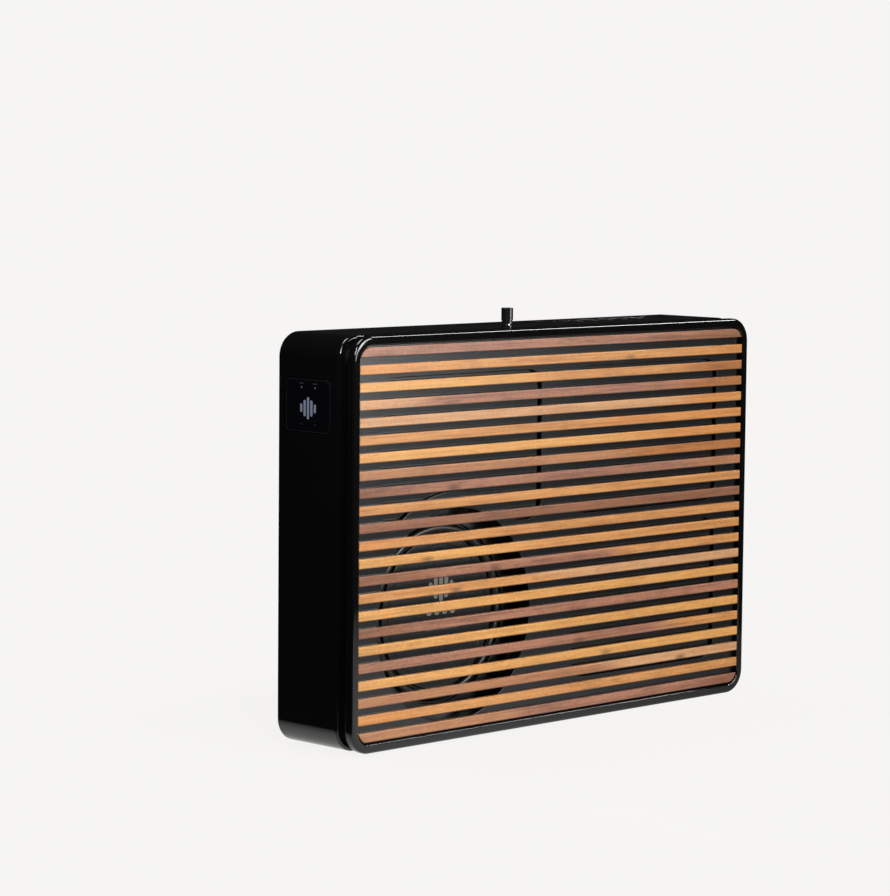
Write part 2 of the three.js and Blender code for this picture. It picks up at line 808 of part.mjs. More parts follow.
const walnutPlaces = [0, 7, 8, 10, 13, 16, 18, 20, 22];
for (let place = 0; place < slatCount; place += 1) {
  const wood = walnutPlaces.includes(place) ? walnutWood : honeyWood;
  add(`slat_${String(place + 1).padStart(2, "0")}`, slat(place), wood);
}

for (const [name, place] of Object.entries(windows)) {
  add(`radiator_${name}`, radiator(place), satinGrey);
  add(`exciter_${name}`, exciter(place), ferrite);
}

add("woofer_basket", basket(), plastic);
add("woofer_surround", surround(), rubberBlack);
add("woofer_diaphragm", diaphragm(), satinGrey);
add("woofer_coil", voiceCoil(), copper);
add("woofer_spider", spider(), nylonCloth);
add("woofer_magnet", magnet(), ferrite);

add("control_strip", controlStrip(), panelBlack);
add("volume_dial", dial(), plastic);
add("dial_shaft", dialShaft(), zinc);
add("encoder_rotor", encoderRotor(), zinc);
add("encoder_body", encoderBody(), plastic);

add("side_plate", sidePlate(), panelBlack);
lightPlaces.forEach((place, order) => add(`status_light_${order + 1}`, light(place), lightLens));

add("connector_plate", connectorPlate(), mattBlack);
add("mains_inlet", mainsInlet(), plastic);
add("power_rocker", powerRocker(), plastic);
add("socket_block", socketBlock(), plastic);
add("pair_button", pairButton(), plastic);

add("amplifier_board", amplifierBoard(), boardGreen);
add("heat_sink", heatSink(), aluminium);
add("power_supply", powerSupply(), boardGreen);
add("damping_pad", dampingPad(), foamGrey);

for (const [name, sideX, sideY] of [
  ["front_left", -1, -1], ["front_right", 1, -1], ["back_left", -1, 1], ["back_right", 1, 1],
]) {
  add(`foot_${name}`, foot(sideX, sideY), rubberBlack);
}

export default speaker;
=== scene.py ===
import bmesh
import bpy
import math
import random
import types
from mathutils import Matrix, Vector
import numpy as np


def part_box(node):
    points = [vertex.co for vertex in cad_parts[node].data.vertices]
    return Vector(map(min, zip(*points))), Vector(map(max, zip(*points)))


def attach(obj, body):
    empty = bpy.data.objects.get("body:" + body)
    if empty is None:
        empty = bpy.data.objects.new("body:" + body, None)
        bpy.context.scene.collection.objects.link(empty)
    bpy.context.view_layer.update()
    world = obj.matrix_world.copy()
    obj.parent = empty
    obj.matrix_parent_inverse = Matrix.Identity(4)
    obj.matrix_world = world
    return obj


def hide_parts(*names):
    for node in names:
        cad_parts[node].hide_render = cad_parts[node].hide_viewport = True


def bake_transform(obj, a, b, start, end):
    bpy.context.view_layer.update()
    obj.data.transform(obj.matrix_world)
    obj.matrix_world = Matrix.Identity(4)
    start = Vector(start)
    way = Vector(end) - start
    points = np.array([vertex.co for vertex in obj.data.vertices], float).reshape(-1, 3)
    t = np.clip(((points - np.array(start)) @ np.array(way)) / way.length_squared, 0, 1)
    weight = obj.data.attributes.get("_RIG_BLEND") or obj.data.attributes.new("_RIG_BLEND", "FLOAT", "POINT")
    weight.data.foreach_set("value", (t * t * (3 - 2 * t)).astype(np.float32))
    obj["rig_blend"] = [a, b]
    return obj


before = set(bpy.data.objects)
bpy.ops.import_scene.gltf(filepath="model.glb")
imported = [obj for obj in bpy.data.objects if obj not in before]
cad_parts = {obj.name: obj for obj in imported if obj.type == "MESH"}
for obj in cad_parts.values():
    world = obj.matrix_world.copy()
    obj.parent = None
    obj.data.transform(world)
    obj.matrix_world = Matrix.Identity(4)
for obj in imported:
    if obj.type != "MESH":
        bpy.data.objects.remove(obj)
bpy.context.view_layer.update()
scene = bpy.context.scene
mm = 0.001
print("frame loaded:", len(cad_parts), "nodes")

# Camera: front left, a little above the middle of the cabinet.
viewpoint = {
    "place": (-1.9989, -1.9157, 0.4882),
    "azimuth": -44.838,
    "elevation": 5.33,
    "roll": 0.526,
    "lens": 131.7,
    "sensor": 36,
}


def makeCamera():
    azimuth, elevation, roll = (math.radians(viewpoint[key]) for key in ("azimuth", "elevation", "roll"))
    level = math.cos(elevation)
    back = Vector((math.sin(azimuth) * level, -math.cos(azimuth) * level, math.sin(elevation)))
    right = Vector((0, 0, 1)).cross(back).normalized()
    up = back.cross(right)
    rolledRight = right * math.cos(roll) + up * math.sin(roll)
    rolledUp = up * math.cos(roll) - right * math.sin(roll)
    data = bpy.data.cameras.new("camera")
    data.lens = viewpoint["lens"]
    data.sensor_width = viewpoint["sensor"]
    eye = bpy.data.objects.new("camera", data)
    eye.matrix_world = Matrix((rolledRight, rolledUp, back)).transposed().to_4x4()
    eye.location = viewpoint["place"]
    scene.collection.objects.link(eye)
    scene.camera = eye


makeCamera()
print("camera placed")


# Shader wiring. A Wire is one node output, and expressions on Wires add Math nodes.
class Wire:
    def __init__(self, tree, socket):
        self.tree = tree
        self.socket = socket

    def __getitem__(self, name):
        return Wire(self.tree, self.socket.node.outputs[name])

    def math(self, operation, first, second=None, clamp=False):
        node = self.tree.nodes.new("ShaderNodeMath")
        node.operation = operation
        node.use_clamp = clamp
        for socket, value in zip(node.inputs, (first, second)):
            if value is not None:
                plug(self.tree, socket, value)
        return Wire(self.tree, node.outputs[0])

    def __add__(self, other):
        return self.math("ADD", self, other)

    def __radd__(self, other):
        return self.math("ADD", other, self)

    def __sub__(self, other):
        return self.math("SUBTRACT", self, other)

    def __rsub__(self, other):
        return self.math("SUBTRACT", other, self)

    def __mul__(self, other):
        return self.math("MULTIPLY", self, other)

    def __rmul__(self, other):
        return self.math("MULTIPLY", other, self)

    # Rises from 0 at the edge to 1 over the soft width.
    def above(self, edge, soft):
        return self.math("MULTIPLY", self - edge, 1 / soft, clamp=True)


def plug(tree, socket, value):
    if isinstance(value, Wire):
        tree.links.new(value.socket, socket)
    elif hasattr(value, "__len__") and len(value) == 3 and len(getattr(socket, "default_value", ())) == 4:
        socket.default_value = (*value, 1)
    else:
        socket.default_value = value


# Makes nodes in a tree. A node's first output stands for it.
class Graph:
    def __init__(self, tree):
        self.tree = tree

    def node(self, kind, settings, sockets):
        node = self.tree.nodes.new("ShaderNode" + kind)
        for name, value in settings.items():
            if name == "stops":
                ramp = node.color_ramp
                while len(ramp.elements) < len(value):
                    ramp.elements.new(0.5)
                for element, (place, color) in zip(ramp.elements, value):
                    element.position = place
                    element.color = (*color, 1)
            else:
                setattr(node, name, value)
        for name, value in sockets.items():
            plug(self.tree, node.inputs[name], value)
        shown = [socket for socket in node.outputs if socket.enabled]
        return Wire(self.tree, shown[0]) if shown else None


class Finish(Graph):
    def __init__(self, name, constants):
        self.material = bpy.data.materials.new(name)
        self.material.use_nodes = True
        super().__init__(self.material.node_tree)
        self.surface = self.tree.nodes["Principled BSDF"]
        self.set(constants)

    def set(self, values):
        for name, value in values.items():
            plug(self.tree, self.surface.inputs[name], value)

    def place(self, scale=(1, 1, 1), shift=(0, 0, 0)):
        spot = self.node("TexCoord", {}, {})["Object"]
        moved = self.node("VectorMath", {"operation": "ADD"}, {0: spot, 1: shift})
        return self.node("VectorMath", {"operation": "MULTIPLY"}, {0: moved, 1: scale})

    def noise(self, scale, detail=2, stretch=(1, 1, 1), shift=(0, 0, 0), distortion=0):
        return self.node("TexNoise", {}, {
            "Vector": self.place(stretch, shift), "Scale": scale, "Detail": detail, "Distortion": distortion})

    def mix(self, factor, first, second, blend="MIX"):
        settings = {"data_type": "RGBA", "blend_type": blend}
        return self.node("Mix", settings, {0: factor, 6: first, 7: second})

    # Sets what every finish has, and gives the material back.
    def coat(self, color, roughness, height, strength, distance):
        bump = self.node("Bump", {}, {"Strength": strength, "Distance": distance, "Height": height})
        self.set({"Base Color": color, "Roughness": roughness, "Normal": bump})
        return self.material


# A display colour, 0 to 255, in linear light.
def srgb(red, green, blue):
    return tuple((value / 255 / 12.92) if value <= 10 else ((value / 255 + 0.055) / 1.055) ** 2.4
                 for value in (red, green, blue))


def scaled(color, share):
    return tuple(share * value for value in color)


def pianoBlack(name):
    finish = Finish(name, {"IOR": 1.52, "Specular IOR Level": 0.5})
    film = finish.noise(9, 3)
    dust = finish.noise(1400, 2).above(0.68, 0.08)
    peel = finish.noise(220, 2)
    return finish.coat(
        finish.mix(film, (0.0022, 0.0022, 0.0024), (0.0034, 0.0034, 0.0038)),
        0.022 + film * 0.02 + dust * 0.04, peel, 0.003, 0.0006)


def panelBlack(name):
    finish = Finish(name, {"IOR": 1.5})
    film = finish.noise(24, 3)
    return finish.coat(
        finish.mix(film, (0.0018, 0.0020, 0.0030), (0.0026, 0.0028, 0.0042)),
        0.05 + film * 0.05, finish.noise(300, 1), 0.01, 0.0005)


def satinGrey(name, shade, roughness):
    finish = Finish(name, {"IOR": 1.5})
    cloud = finish.noise(30, 4)
    grit = finish.noise(2600, 3)
    rub = finish.noise(6, 5, (1, 1, 4)).above(0.55, 0.3)
    return finish.coat(
        finish.mix(cloud, scaled(shade, 0.9), scaled(shade, 1.12)),
        roughness + cloud * 0.02 + grit * 0.01 - rub * 0.01, cloud, 0.006, 0.0004)


def mattBlack(name, shade=0.012, roughness=0.62, pebble=1500):
    finish = Finish(name, {"IOR": 1.46})
    cells = finish.node("TexVoronoi", {"feature": "SMOOTH_F1"}, {"Vector": finish.place(), "Scale": pebble})
    cloud = finish.noise(35, 3)
    return finish.coat(
        finish.mix(cloud, (shade * 0.8,) * 3, (shade * 1.25,) * 3),
        roughness + cloud * 0.1, cells, 0.35, 0.00015)


# Wood colours, as a pale and a dark tone of the grain.
woodTones = {
    "honey": (srgb(198, 138, 76), srgb(160, 104, 52)),
    "golden": (srgb(210, 152, 82), srgb(176, 122, 60)),
    "blush": (srgb(196, 148, 102), srgb(168, 118, 78)),
    "amber": (srgb(198, 132, 66), srgb(166, 102, 44)),
    "toffee": (srgb(166, 104, 46), srgb(134, 78, 28)),
    "tan": (srgb(170, 116, 74), srgb(138, 88, 54)),
    "walnut": (srgb(160, 108, 80), srgb(118, 74, 54)),
    "umber": (srgb(140, 90, 58), srgb(104, 62, 38)),
}

# The woods of each slat from the left, from the top. A number is the share of the length where one
# wood turns into the next.
slatWoods = [
    ("walnut", 0.8, "umber"), ("amber", 0.12, "honey", 0.9, "amber"),
    ("golden", 0.45, "honey", 0.84, "toffee"), ("blush", 0.12, "walnut", 0.84, "toffee"),
    ("blush", 0.8, "amber"), ("honey", 0.66, "amber"), ("golden", 0.74, "amber"), ("tan", 0.66, "toffee"),
    ("umber", 0.12, "walnut", 0.86, "tan"), ("honey",), ("umber",), ("amber", 0.1, "honey"),
    ("golden", 0.4, "honey"), ("umber", 0.14, "walnut", 0.62, "honey"), ("honey", 0.5, "blush"),
    ("golden",), ("umber", 0.16, "walnut"), ("golden",), ("walnut", 0.84, "honey"), ("golden",),
    ("tan", 0.62, "blush"), ("amber", 0.12, "honey"), ("tan", 0.4, "walnut", 0.9, "umber"),
]


def slatWood(number, woods):
    draw = random.Random(100 + number)
    finish = Finish(f"slatWood{number:02d}", {"IOR": 1.5})
    shift = (draw.uniform(-9, 9), draw.uniform(-9, 9), draw.uniform(-9, 9))
    low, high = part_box(f"slat_{number:02d}")
    spot = finish.node("SeparateXYZ", {}, {"Vector": finish.place()})
    drift = finish.noise(1, 3, (9, 30, 120), shift)
    across = (spot["X"] - low.x) * (1 / (high.x - low.x)) + (drift - 0.5) * 0.4
    pale, dark = woodTones[woods[0]]
    for change, wood in zip(woods[1::2], woods[2::2]):
        turn = across.above(change - 0.06, 0.12)
        pale = finish.mix(turn, pale, woodTones[wood][0])
        dark = finish.mix(turn, dark, woodTones[wood][1])
    rings = finish.noise(1, 5, (7, 160, 520), shift, 0.6)
    fibre = finish.noise(1, 4, (60, 900, 2600), shift)
    pores = finish.noise(1, 3, (170, 1500, 4200), shift).above(0.58, 0.12)
    fleck = finish.noise(1, 3, (330, 420, 420), shift)
    wave = finish.noise(1, 2, (34, 60, 60), shift)
    streak = finish.noise(1, 3, (16, 80, 300), shift, 1.8).above(0.55, 0.12)
    grain = (rings - 0.5) * 2.2 + (fibre - 0.5) * 1.1 + (fleck - 0.5) * 1.2
    grain = grain + (wave - 0.5) * 0.8 - streak * 0.5 + 0.6
    tinted = finish.mix(grain.above(0, 1), dark, pale)
    knotPlace = (low.x + (high.x - low.x) * draw.uniform(0.15, 0.9), low.y, low.z + 0.3 * (high.z - low.z))
    toKnot = finish.place((1, 1, 1), scaled(knotPlace, -1))
    knotReach = finish.node("VectorMath", {"operation": "LENGTH"}, {
        0: finish.node("VectorMath", {"operation": "MULTIPLY"}, {0: toKnot, 1: (0.35, 0.3, 1)})})["Value"]
    knot = (1 - (knotReach + (fibre - 0.5) * 0.001).above(0.0004, 0.003)) * draw.choice((0, 0, 0, 0, 0.7))
    # Painted shade: a dark band along the slat's lower edge, where the edge lies in shadow. The dark tone
    # below serves the pores, the knots and this painted shade.
    paintedEdgeShade = (low.z + 1 * mm - spot["Z"] + (fibre - 0.5) * 0.0004).above(0, 0.0004) * 0.85
    poreKnotAndShadeTone = scaled(woodTones[woods[0]][1], 0.3)
    return finish.coat(
        finish.mix((pores * 0.36 + knot + paintedEdgeShade).above(0, 1), tinted, poreKnotAndShadeTone),
        0.3 + (fibre - 0.5) * 0.1 + pores * 0.1, fibre * 0.6 - pores * 0.8 + fleck * 0.25, 0.18, 0.0001)


def rubberBlack(name, shade, roughness):
    finish = Finish(name, {"IOR": 1.5})
    bloom = finish.noise(40, 4)
    return finish.coat(
        finish.mix(bloom, (shade * 0.8,) * 3, (shade * 1.3,) * 3),
        roughness + bloom * 0.1, finish.noise(2200, 2), 0.08, 0.00005)


def metal(name, color, roughness, stretch):
    finish = Finish(name, {})
    lines = finish.noise(1, 3, stretch)
    stain = finish.noise(60, 4)
    finish.set({"Metallic": 0.94 + stain * 0.06})
    return finish.coat(
        finish.mix(stain, scaled(color, 0.86), color),
        roughness + lines * 0.16, lines, 0.12, 0.00005)


def circuitBoard(boardY):
    finish = Finish("circuitBoard", {"IOR": 1.5})
    depth = finish.node("SeparateXYZ", {}, {"Vector": finish.place()})["Y"]
    raised = (boardY - depth).above(0.0012, 0.0001)
    tracks = finish.node(
        "TexBrick", {"offset": 0.37, "squash": 0.6},
        {"Vector": finish.place((1, 0, 1)), "Scale": 90, "Mortar Size": 0.03,
         "Color1": (0.012, 0.10, 0.045), "Color2": (0.014, 0.12, 0.05), "Mortar": (0.03, 0.22, 0.09)})
    pads = finish.node("TexVoronoi", {}, {"Vector": finish.place((1, 0, 1)), "Scale": 260})["Distance"]
    solder = 1 - pads.above(0.16, 0.05)
    board = finish.mix(solder, tracks, (0.55, 0.55, 0.56))
    cloud = finish.noise(90, 3)
    case = finish.mix(cloud, (0.012, 0.012, 0.014), (0.03, 0.03, 0.034))
    finish.set({"Metallic": solder * (1 - raised) * 0.9})
    return finish.coat(
        finish.mix(raised, board, case),
        0.32 + cloud * 0.2, pads, 0.15, 0.0001)


def foam(name):
    finish = Finish(name, {"IOR": 1.3, "Sheen Weight": 0.3})
    cells = finish.node("TexVoronoi", {}, {"Vector": finish.place(), "Scale": 420})["Distance"]
    cloud = finish.noise(25, 4)
    return finish.coat(
        finish.mix(cells * 0.7 + cloud * 0.3, (0.03, 0.03, 0.032), (0.2, 0.2, 0.205)),
        0.86 + cloud * 0.1, cells, 0.8, 0.0012)


def spiderCloth(name):
    finish = Finish(name, {"IOR": 1.4})
    weft = finish.node("TexWave", {"bands_direction": "X"}, {"Vector": finish.place(), "Scale": 500})
    warp = finish.node("TexWave", {"bands_direction": "Z"}, {"Vector": finish.place(), "Scale": 500})
    weave = weft * 0.5 + warp * 0.5
    return finish.coat(
        finish.mix(weave, (0.30, 0.14, 0.035), (0.58, 0.32, 0.1)),
        0.7 + weave * 0.12, weave, 0.5, 0.0002)


def ink(name, color):
    finish = Finish(name, {"IOR": 1.45})
    speck = finish.noise(900, 3)
    return finish.coat(
        finish.mix(speck, scaled(color, 0.82), color),
        0.42 + speck * 0.12, speck, 0.05, 0.00003)


def lightLens(name):
    finish = Finish(name, {"IOR": 1.5, "Emission Strength": 0.04, "Transmission Weight": 0.2})
    haze = finish.noise(700, 2)
    finish.set({
        "Base Color": finish.mix(haze, (0.05, 0.06, 0.07), (0.1, 0.11, 0.13)),
        "Emission Color": finish.mix(haze, (0.5, 0.6, 0.75), (0.7, 0.8, 0.95)),
        "Roughness": 0.2 + haze * 0.1,
    })
    return finish.material


# Each finish, with what its function is told besides the name.
finishKinds = {
    "pianoBlack": (pianoBlack,),
    "panelBlack": (panelBlack,),
    "baffleGrey": (satinGrey, (0.0050, 0.0050, 0.0054), 0.195),
    "radiatorGrey": (satinGrey, (0.0054, 0.0054, 0.0058), 0.19),
    "discGrey": (satinGrey, (0.0062, 0.0062, 0.0066), 0.26),
    # Painted shade: the darker finish on the baffle's edge in the shadow gap.
    "channelBlack": (mattBlack, 0.004, 0.5, 900),
    "mattBlack": (mattBlack,),
    "plasticBlack": (mattBlack, 0.010, 0.36, 2600),
    "dialBlack": (satinGrey, (0.008, 0.008, 0.009), 0.2),
    "flangeBlack": (mattBlack, 0.006, 0.26, 2600),
    "surroundRubber": (rubberBlack, 0.005, 0.3),
    "footRubber": (rubberBlack, 0.012, 0.6),
    "zinc": (metal, (0.52, 0.52, 0.51), 0.28, (300, 300, 40)),
    "gold": (metal, (0.80, 0.58, 0.25), 0.22, (900, 60, 900)),
    "steel": (metal, (0.16, 0.16, 0.17), 0.3, (600, 600, 600)),
    "aluminium": (metal, (0.62, 0.63, 0.64), 0.3, (30, 30, 900)),
    "copper": (metal, (0.70, 0.33, 0.15), 0.3, (60, 4200, 60)),
    "ferrite": (mattBlack, 0.05, 0.6, 1100),
    "foam": (foam,),
    "spiderCloth": (spiderCloth,),
    "lightLens": (lightLens,),
    "discInk": (ink, srgb(160, 160, 146)),
    "plateInk": (ink, srgb(150, 160, 184)),
    "faintInk": (ink, srgb(66, 68, 74)),
    # Painted highlight: the ink of the light line along the side plate's edge.
    "lineInk": (ink, srgb(44, 46, 52)),
    "socketWhite": (ink, (0.6, 0.6, 0.58)),
    "socketRed": (ink, (0.42, 0.02, 0.015)),
    "socketBlack": (ink, (0.015, 0.015, 0.016)),
}
finishes = {name: make(name, *values) for name, (make, *values) in finishKinds.items()}
print("finishes made:", len(finishes))


# Mesh building. A Body is a mesh made of loops of points, walls between loops and flat caps.
class Body:
    def __init__(self):
        self.mesh = bmesh.new()

    def loop(self, points):
        return [self.mesh.verts.new(point) for point in points]

    def wall(self, loops, closed=False, leaveOut=(), material=0):
        rows = list(zip(loops, loops[1:]))
        if closed:
            rows.append((loops[-1], loops[0]))
        for row, (near, far) in enumerate(rows):
            for step in range(len(near)):
                if (row, step) not in leaveOut:
                    after = (step + 1) % len(near)
                    face = self.mesh.faces.new((near[step], near[after], far[after], far[step]))
                    face.material_index = material

    def cap(self, *loops):
        if len(loops) == 1:
            self.mesh.faces.new(loops[0])
            return
        edges = []
        for loop in loops:
            for near, far in zip(loop, loop[1:] + loop[:1]):
                edges.append(self.mesh.edges.get((near, far)) or self.mesh.edges.new((near, far)))
        bmesh.ops.triangle_fill(self.mesh, use_beauty=True, edges=edges)

    def tube(self, loops):
        self.wall(loops)
        self.cap(loops[0])
        self.cap(loops[-1])

    def piece(self, name, finish, smooth=35, extra=()):
        bmesh.ops.recalc_face_normals(self.mesh, faces=self.mesh.faces)
        data = bpy.data.meshes.new(name)
        self.mesh.to_mesh(data)
        self.mesh.free()
        for each in (finish, *extra):
            data.materials.append(finishes.get(each) or bpy.data.materials[each])
        data.shade_smooth()
        data.set_sharp_from_angle(angle=math.radians(smooth))
        made = bpy.data.objects.new(name, data)
        scene.collection.objects.link(made)
        made.modifiers.new("faceWeights", "WEIGHTED_NORMAL").keep_sharp = True
        return made


def fasten(made, body="cabinet", nodes=()):
    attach(made, body)
    if nodes:
        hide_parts(*nodes)
    return made


# Corner points of a rounded rectangle, anticlockwise from the right-hand side.
def rounded(wide, high, corner, steps=16):
    points = []
    for quarter, (sideU, sideV) in enumerate(((1, 1), (-1, 1), (-1, -1), (1, -1))):
        for step in range(steps + 1):
            turn = (quarter + step / steps) * math.pi / 2
            u = sideU * (wide / 2 - corner) + corner * math.cos(turn)
            v = sideV * (high / 2 - corner) + corner * math.sin(turn)
            points.append((u, v))
    return points


def circle(radius, steps=96):
    turns = [2 * math.pi * step / steps for step in range(steps)]
    return [(radius * math.cos(turn), radius * math.sin(turn)) for turn in turns]


# Points (u, v) of an outline, placed across an axis.
def laid(points, axis, along, centre):
    order = {"x": (2, 0, 1), "y": (0, 2, 1), "z": (0, 1, 2)}[axis]
    placed = []
    for u, v in points:
        values = (u, v, along)
        placed.append(Vector(values[place] for place in order) + centre)
    return placed


def shifted(points, right, up):
    return [(u + right, v + up) for u, v in points]


# The point's place across an axis, with nothing along it.
def onAxis(axis, point):
    flat = point.copy()
    flat["xyz".index(axis)] = 0
    return flat


# A piece's sizes in metres, by name.
def metres(sizes):
    return types.SimpleNamespace(**{name: value * mm for name, value in sizes.items()})


# Points of an arc about (x, y), angles in degrees.
def arc(x, y, radius, start, end, steps=6):
    turns = [math.radians(start + (end - start) * step / steps) for step in range(steps + 1)]
    return [(x + radius * math.cos(turn), y + radius * math.sin(turn)) for turn in turns]


# (inset, rise) down an eased edge, from the face to the side.
def eased(edge, turns=(0, 0.4, 0.8, 1.2, math.pi / 2)):
    return [(edge * (1 - math.sin(turn)), edge * (1 - math.cos(turn))) for turn in turns]


# (inset, along) from one face to the other, with both edges eased.
def easedLevels(near, far, edge, steps=3):
    way = 1 if far > near else -1
    ease = eased(edge, [math.pi / 2 * step / steps for step in range(steps + 1)])
    start = [(inset, near + way * rise) for inset, rise in ease]
    end = [(inset, far - way * rise) for inset, rise in reversed(ease)]
    return start + end


# A flat piece across an axis. An outline is a function of the inset, and so is each hole.
def slab(body, outline, axis, centre, near, far, edge, holes=()):
    levels = easedLevels(near, far, edge)
    outer = [body.loop(laid(outline(inset), axis, along, centre)) for inset, along in levels]
    body.wall(outer)
    inner = []
    for hole in holes:
        loops = [body.loop(laid(hole(-inset), axis, along, centre)) for inset, along in levels]
        body.wall(loops)
        inner.append(loops)
    body.cap(outer[0], *(loops[0] for loops in inner))
    body.cap(outer[-1], *(loops[-1] for loops in inner))


# A turned piece: (radius, along) points, capped at both ends unless it is a closed ring.
def turned(body, profile, axis, centre, steps=96, closed=False):
    loops = [body.loop(laid(circle(radius, steps), axis, along, centre)) for radius, along in profile]
    if closed:
        body.wall(loops, True)
    else:
        body.tube(loops)


def middle(node):
    low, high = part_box(node)
    return (low + high) / 2


def span(node):
    low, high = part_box(node)
    return high - low


# Cuts one piece by another, which is then removed.
def carve(made, cutter):
    cut = made.modifiers.new("cut", "BOOLEAN")
    cut.object = cutter
    cut.solver = "EXACT"
    made.modifiers.move(len(made.modifiers) - 1, 0)
    weights = made.modifiers["faceWeights"]
    weights.show_viewport = False
    bpy.context.view_layer.update()
    evaluated = made.evaluated_get(bpy.context.evaluated_depsgraph_get())
    data = bpy.data.meshes.new_from_object(evaluated)
    made.modifiers.remove(cut)
    made.data = data
    weights.show_viewport = True
    bpy.data.objects.remove(cutter)


shellLow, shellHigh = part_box("cabinet_shell")
frameLow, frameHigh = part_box("front_frame")
centreZ = (shellLow.z + shellHigh.z) / 2
outerWidth = shellHigh.x - shellLow.x
outerHeight = shellHigh.z - shellLow.z
driverAxis = onAxis("y", middle("woofer_basket"))

cabinetSizes = {  # mm
    "corner": 20, "edge": 2.5, "wall": 7.5, "innerEdge": 0.4, "ledge": 10, "fit": 0.3,
    "pocketEdge": 0.25, "bushGap": 0.3, "overcut": 1,
}
fit = cabinetSizes["fit"] * mm
cornerSteps = 24


# A loop round the cabinet's outline, at a depth and an inset from the outside.
def roundLoop(body, inset, y):
    corner = cabinetSizes["corner"] * mm - inset
    points = rounded(outerWidth - 2 * inset, outerHeight - 2 * inset, corner, cornerSteps)
    return body.loop(laid(points, "y", y, Vector((0, 0, centreZ))))


# A shallow pocket: mouth, eased edge and floor. Returns its first and last loop.
def pocket(body, wide, high, corner, axis, centre, surface, floor):
    edge = cabinetSizes["pocketEdge"] * mm
    way = 1 if floor > surface else -1
    levels = [(edge, surface), (edge * 0.3, surface + way * edge * 0.3)]
    levels += [(0, surface + way * edge), (0, floor)]
    loops = []
    for grow, along in levels:
        points = rounded(wide + 2 * grow, high + 2 * grow, corner + grow, 12)
        loops.append(body.loop(laid(points, axis, along, centre)))
    body.wall(loops)
    return loops[0], loops[-1]


def makeCabinet():
    wall, edge, inner, ledge = (cabinetSizes[key] * mm for key in ("wall", "edge", "innerEdge", "ledge"))
    front, back = shellLow.y, shellHigh.y
    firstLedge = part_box("woofer_basket")[0].y
    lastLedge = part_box("connector_plate")[1].y - ledge
    section = arc(edge, front + edge, edge, 180, 270, 8)
    section += arc(wall - inner, front + inner, inner, 270, 360, 3)
    for start in (firstLedge, lastLedge):
        section += [(wall, start), (wall + ledge, start)]
        section += [(wall + ledge, start + ledge), (wall, start + ledge)]
    section += arc(wall - inner, back - inner, inner, 0, 90, 3)
    section += arc(edge, back - edge, edge, 90, 180, 8)
    body = Body()
    loops = [roundLoop(body, inset, y) for inset, y in section]
    outside = len(section) - 1
    betweenLedges = section.index((wall, firstLedge + ledge))
    topSide = cornerSteps
    leftSide = 2 * cornerSteps + 1
    body.wall(loops, True, {(outside, topSide), (outside, leftSide), (betweenLedges, topSide)})

    def sideOf(row, step):
        near, far = loops[row], loops[(row + 1) % len(loops)]
        return [near[step], near[step + 1], far[step + 1], far[step]]

    plate, plateSize = middle("side_plate"), span("side_plate")
    mouth, floor = pocket(
        body, plateSize.y + 2 * fit, plateSize.z + 2 * fit, sidePlateSizes["corner"] * mm + fit,
        "x", onAxis("x", plate), shellLow.x, shellLow.x + plateSize.x + fit)
    body.cap(sideOf(outside, leftSide), mouth)
    body.cap(floor)

    strip, stripSize = middle("control_strip"), span("control_strip")
    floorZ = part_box("control_strip")[0].z - fit
    mouth, floor = pocket(
        body, stripSize.x + 2 * fit, stripSize.y + 2 * fit, stripSizes["corner"] * mm + fit,
        "z", onAxis("z", strip), shellHigh.z, floorZ)
    body.cap(sideOf(outside, topSide), mouth)
    axle = onAxis("z", middle("dial_shaft"))
    bush = circle(stripSizes["bush"] * mm + cabinetSizes["bushGap"] * mm, 48)
    holes = [body.loop(laid(bush, "z", z, axle)) for z in (floorZ, shellHigh.z - wall)]
    body.wall(holes)
    body.cap(floor, holes[0])
    body.cap(sideOf(betweenLedges, topSide), holes[1])
    cabinet = body.piece("cabinet", "pianoBlack")

    cutter = Body()
    reach, past = span("woofer_basket").x / 2 + fit, cabinetSizes["overcut"] * mm
    turned(cutter, [(reach, firstLedge - past), (reach, firstLedge + ledge + past)], "y", driverAxis)
    carve(cabinet, cutter.piece("cutter", "pianoBlack"))
    return fasten(cabinet, nodes=["cabinet_shell"])


frameSizes = {"edge": 2.5, "innerEdge": 1.2, "backEdge": 0.6}  # mm


def makeFrontFrame():
    wall = cabinetSizes["wall"] * mm
    edge, inner, backEdge = (frameSizes[key] * mm for key in ("edge", "innerEdge", "backEdge"))
    front, back = frameLow.y, frameHigh.y
    section = arc(edge, front + edge, edge, 180, 270, 8)
    section += arc(wall - inner, front + inner, inner, 270, 360, 6)
    section += [(wall, back)]
    section += arc(backEdge, back - backEdge, backEdge, 90, 180, 3)
    body = Body()
    body.wall([roundLoop(body, inset, y) for inset, y in section], True)
    return fasten(body.piece("frontFrame", "pianoBlack"), nodes=["front_frame"])


slatSizes = {"edge": 0.5, "endCorner": 0.25, "fieldCorner": 10.9}  # mm


# A slat seen from the front. The first and the last follow the frame's rounded corners.
def slatOutline(wide, high, number):
    corner = slatSizes["endCorner"] * mm
    field = slatSizes["fieldCorner"] * mm

    def outline(inset):
        halfWide, halfHigh = wide / 2 - inset, high / 2 - inset
        if number not in (1, 23):
            return rounded(2 * halfWide, 2 * halfHigh, max(corner - inset, 0.00002), 3)
        radius = field - inset
        drop = math.degrees(math.asin(max(-1, (radius - 2 * halfHigh) / radius)))
        top = halfHigh - radius
        points = arc(halfWide - radius, top, radius, drop, 90, 14)
        points += arc(radius - halfWide, top, radius, 90, 180 - drop, 14)
        if number == 1:
            return points
        return [(u, -v) for u, v in reversed(points)]

    return outline


def makeSlats():
    for number, woods in enumerate(slatWoods, 1):
        node = f"slat_{number:02d}"
        low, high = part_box(node)
        size = high - low
        centre = middle(node)
        body = Body()
        slab(body, slatOutline(size.x, size.z, number), "y", Vector((0, 0, centre.z)),
             low.y, high.y, slatSizes["edge"] * mm)
        wood = slatWood(number, woods)
        made = body.piece(f"slat{number:02d}", wood.name, 50)
        fasten(made, nodes=[node])


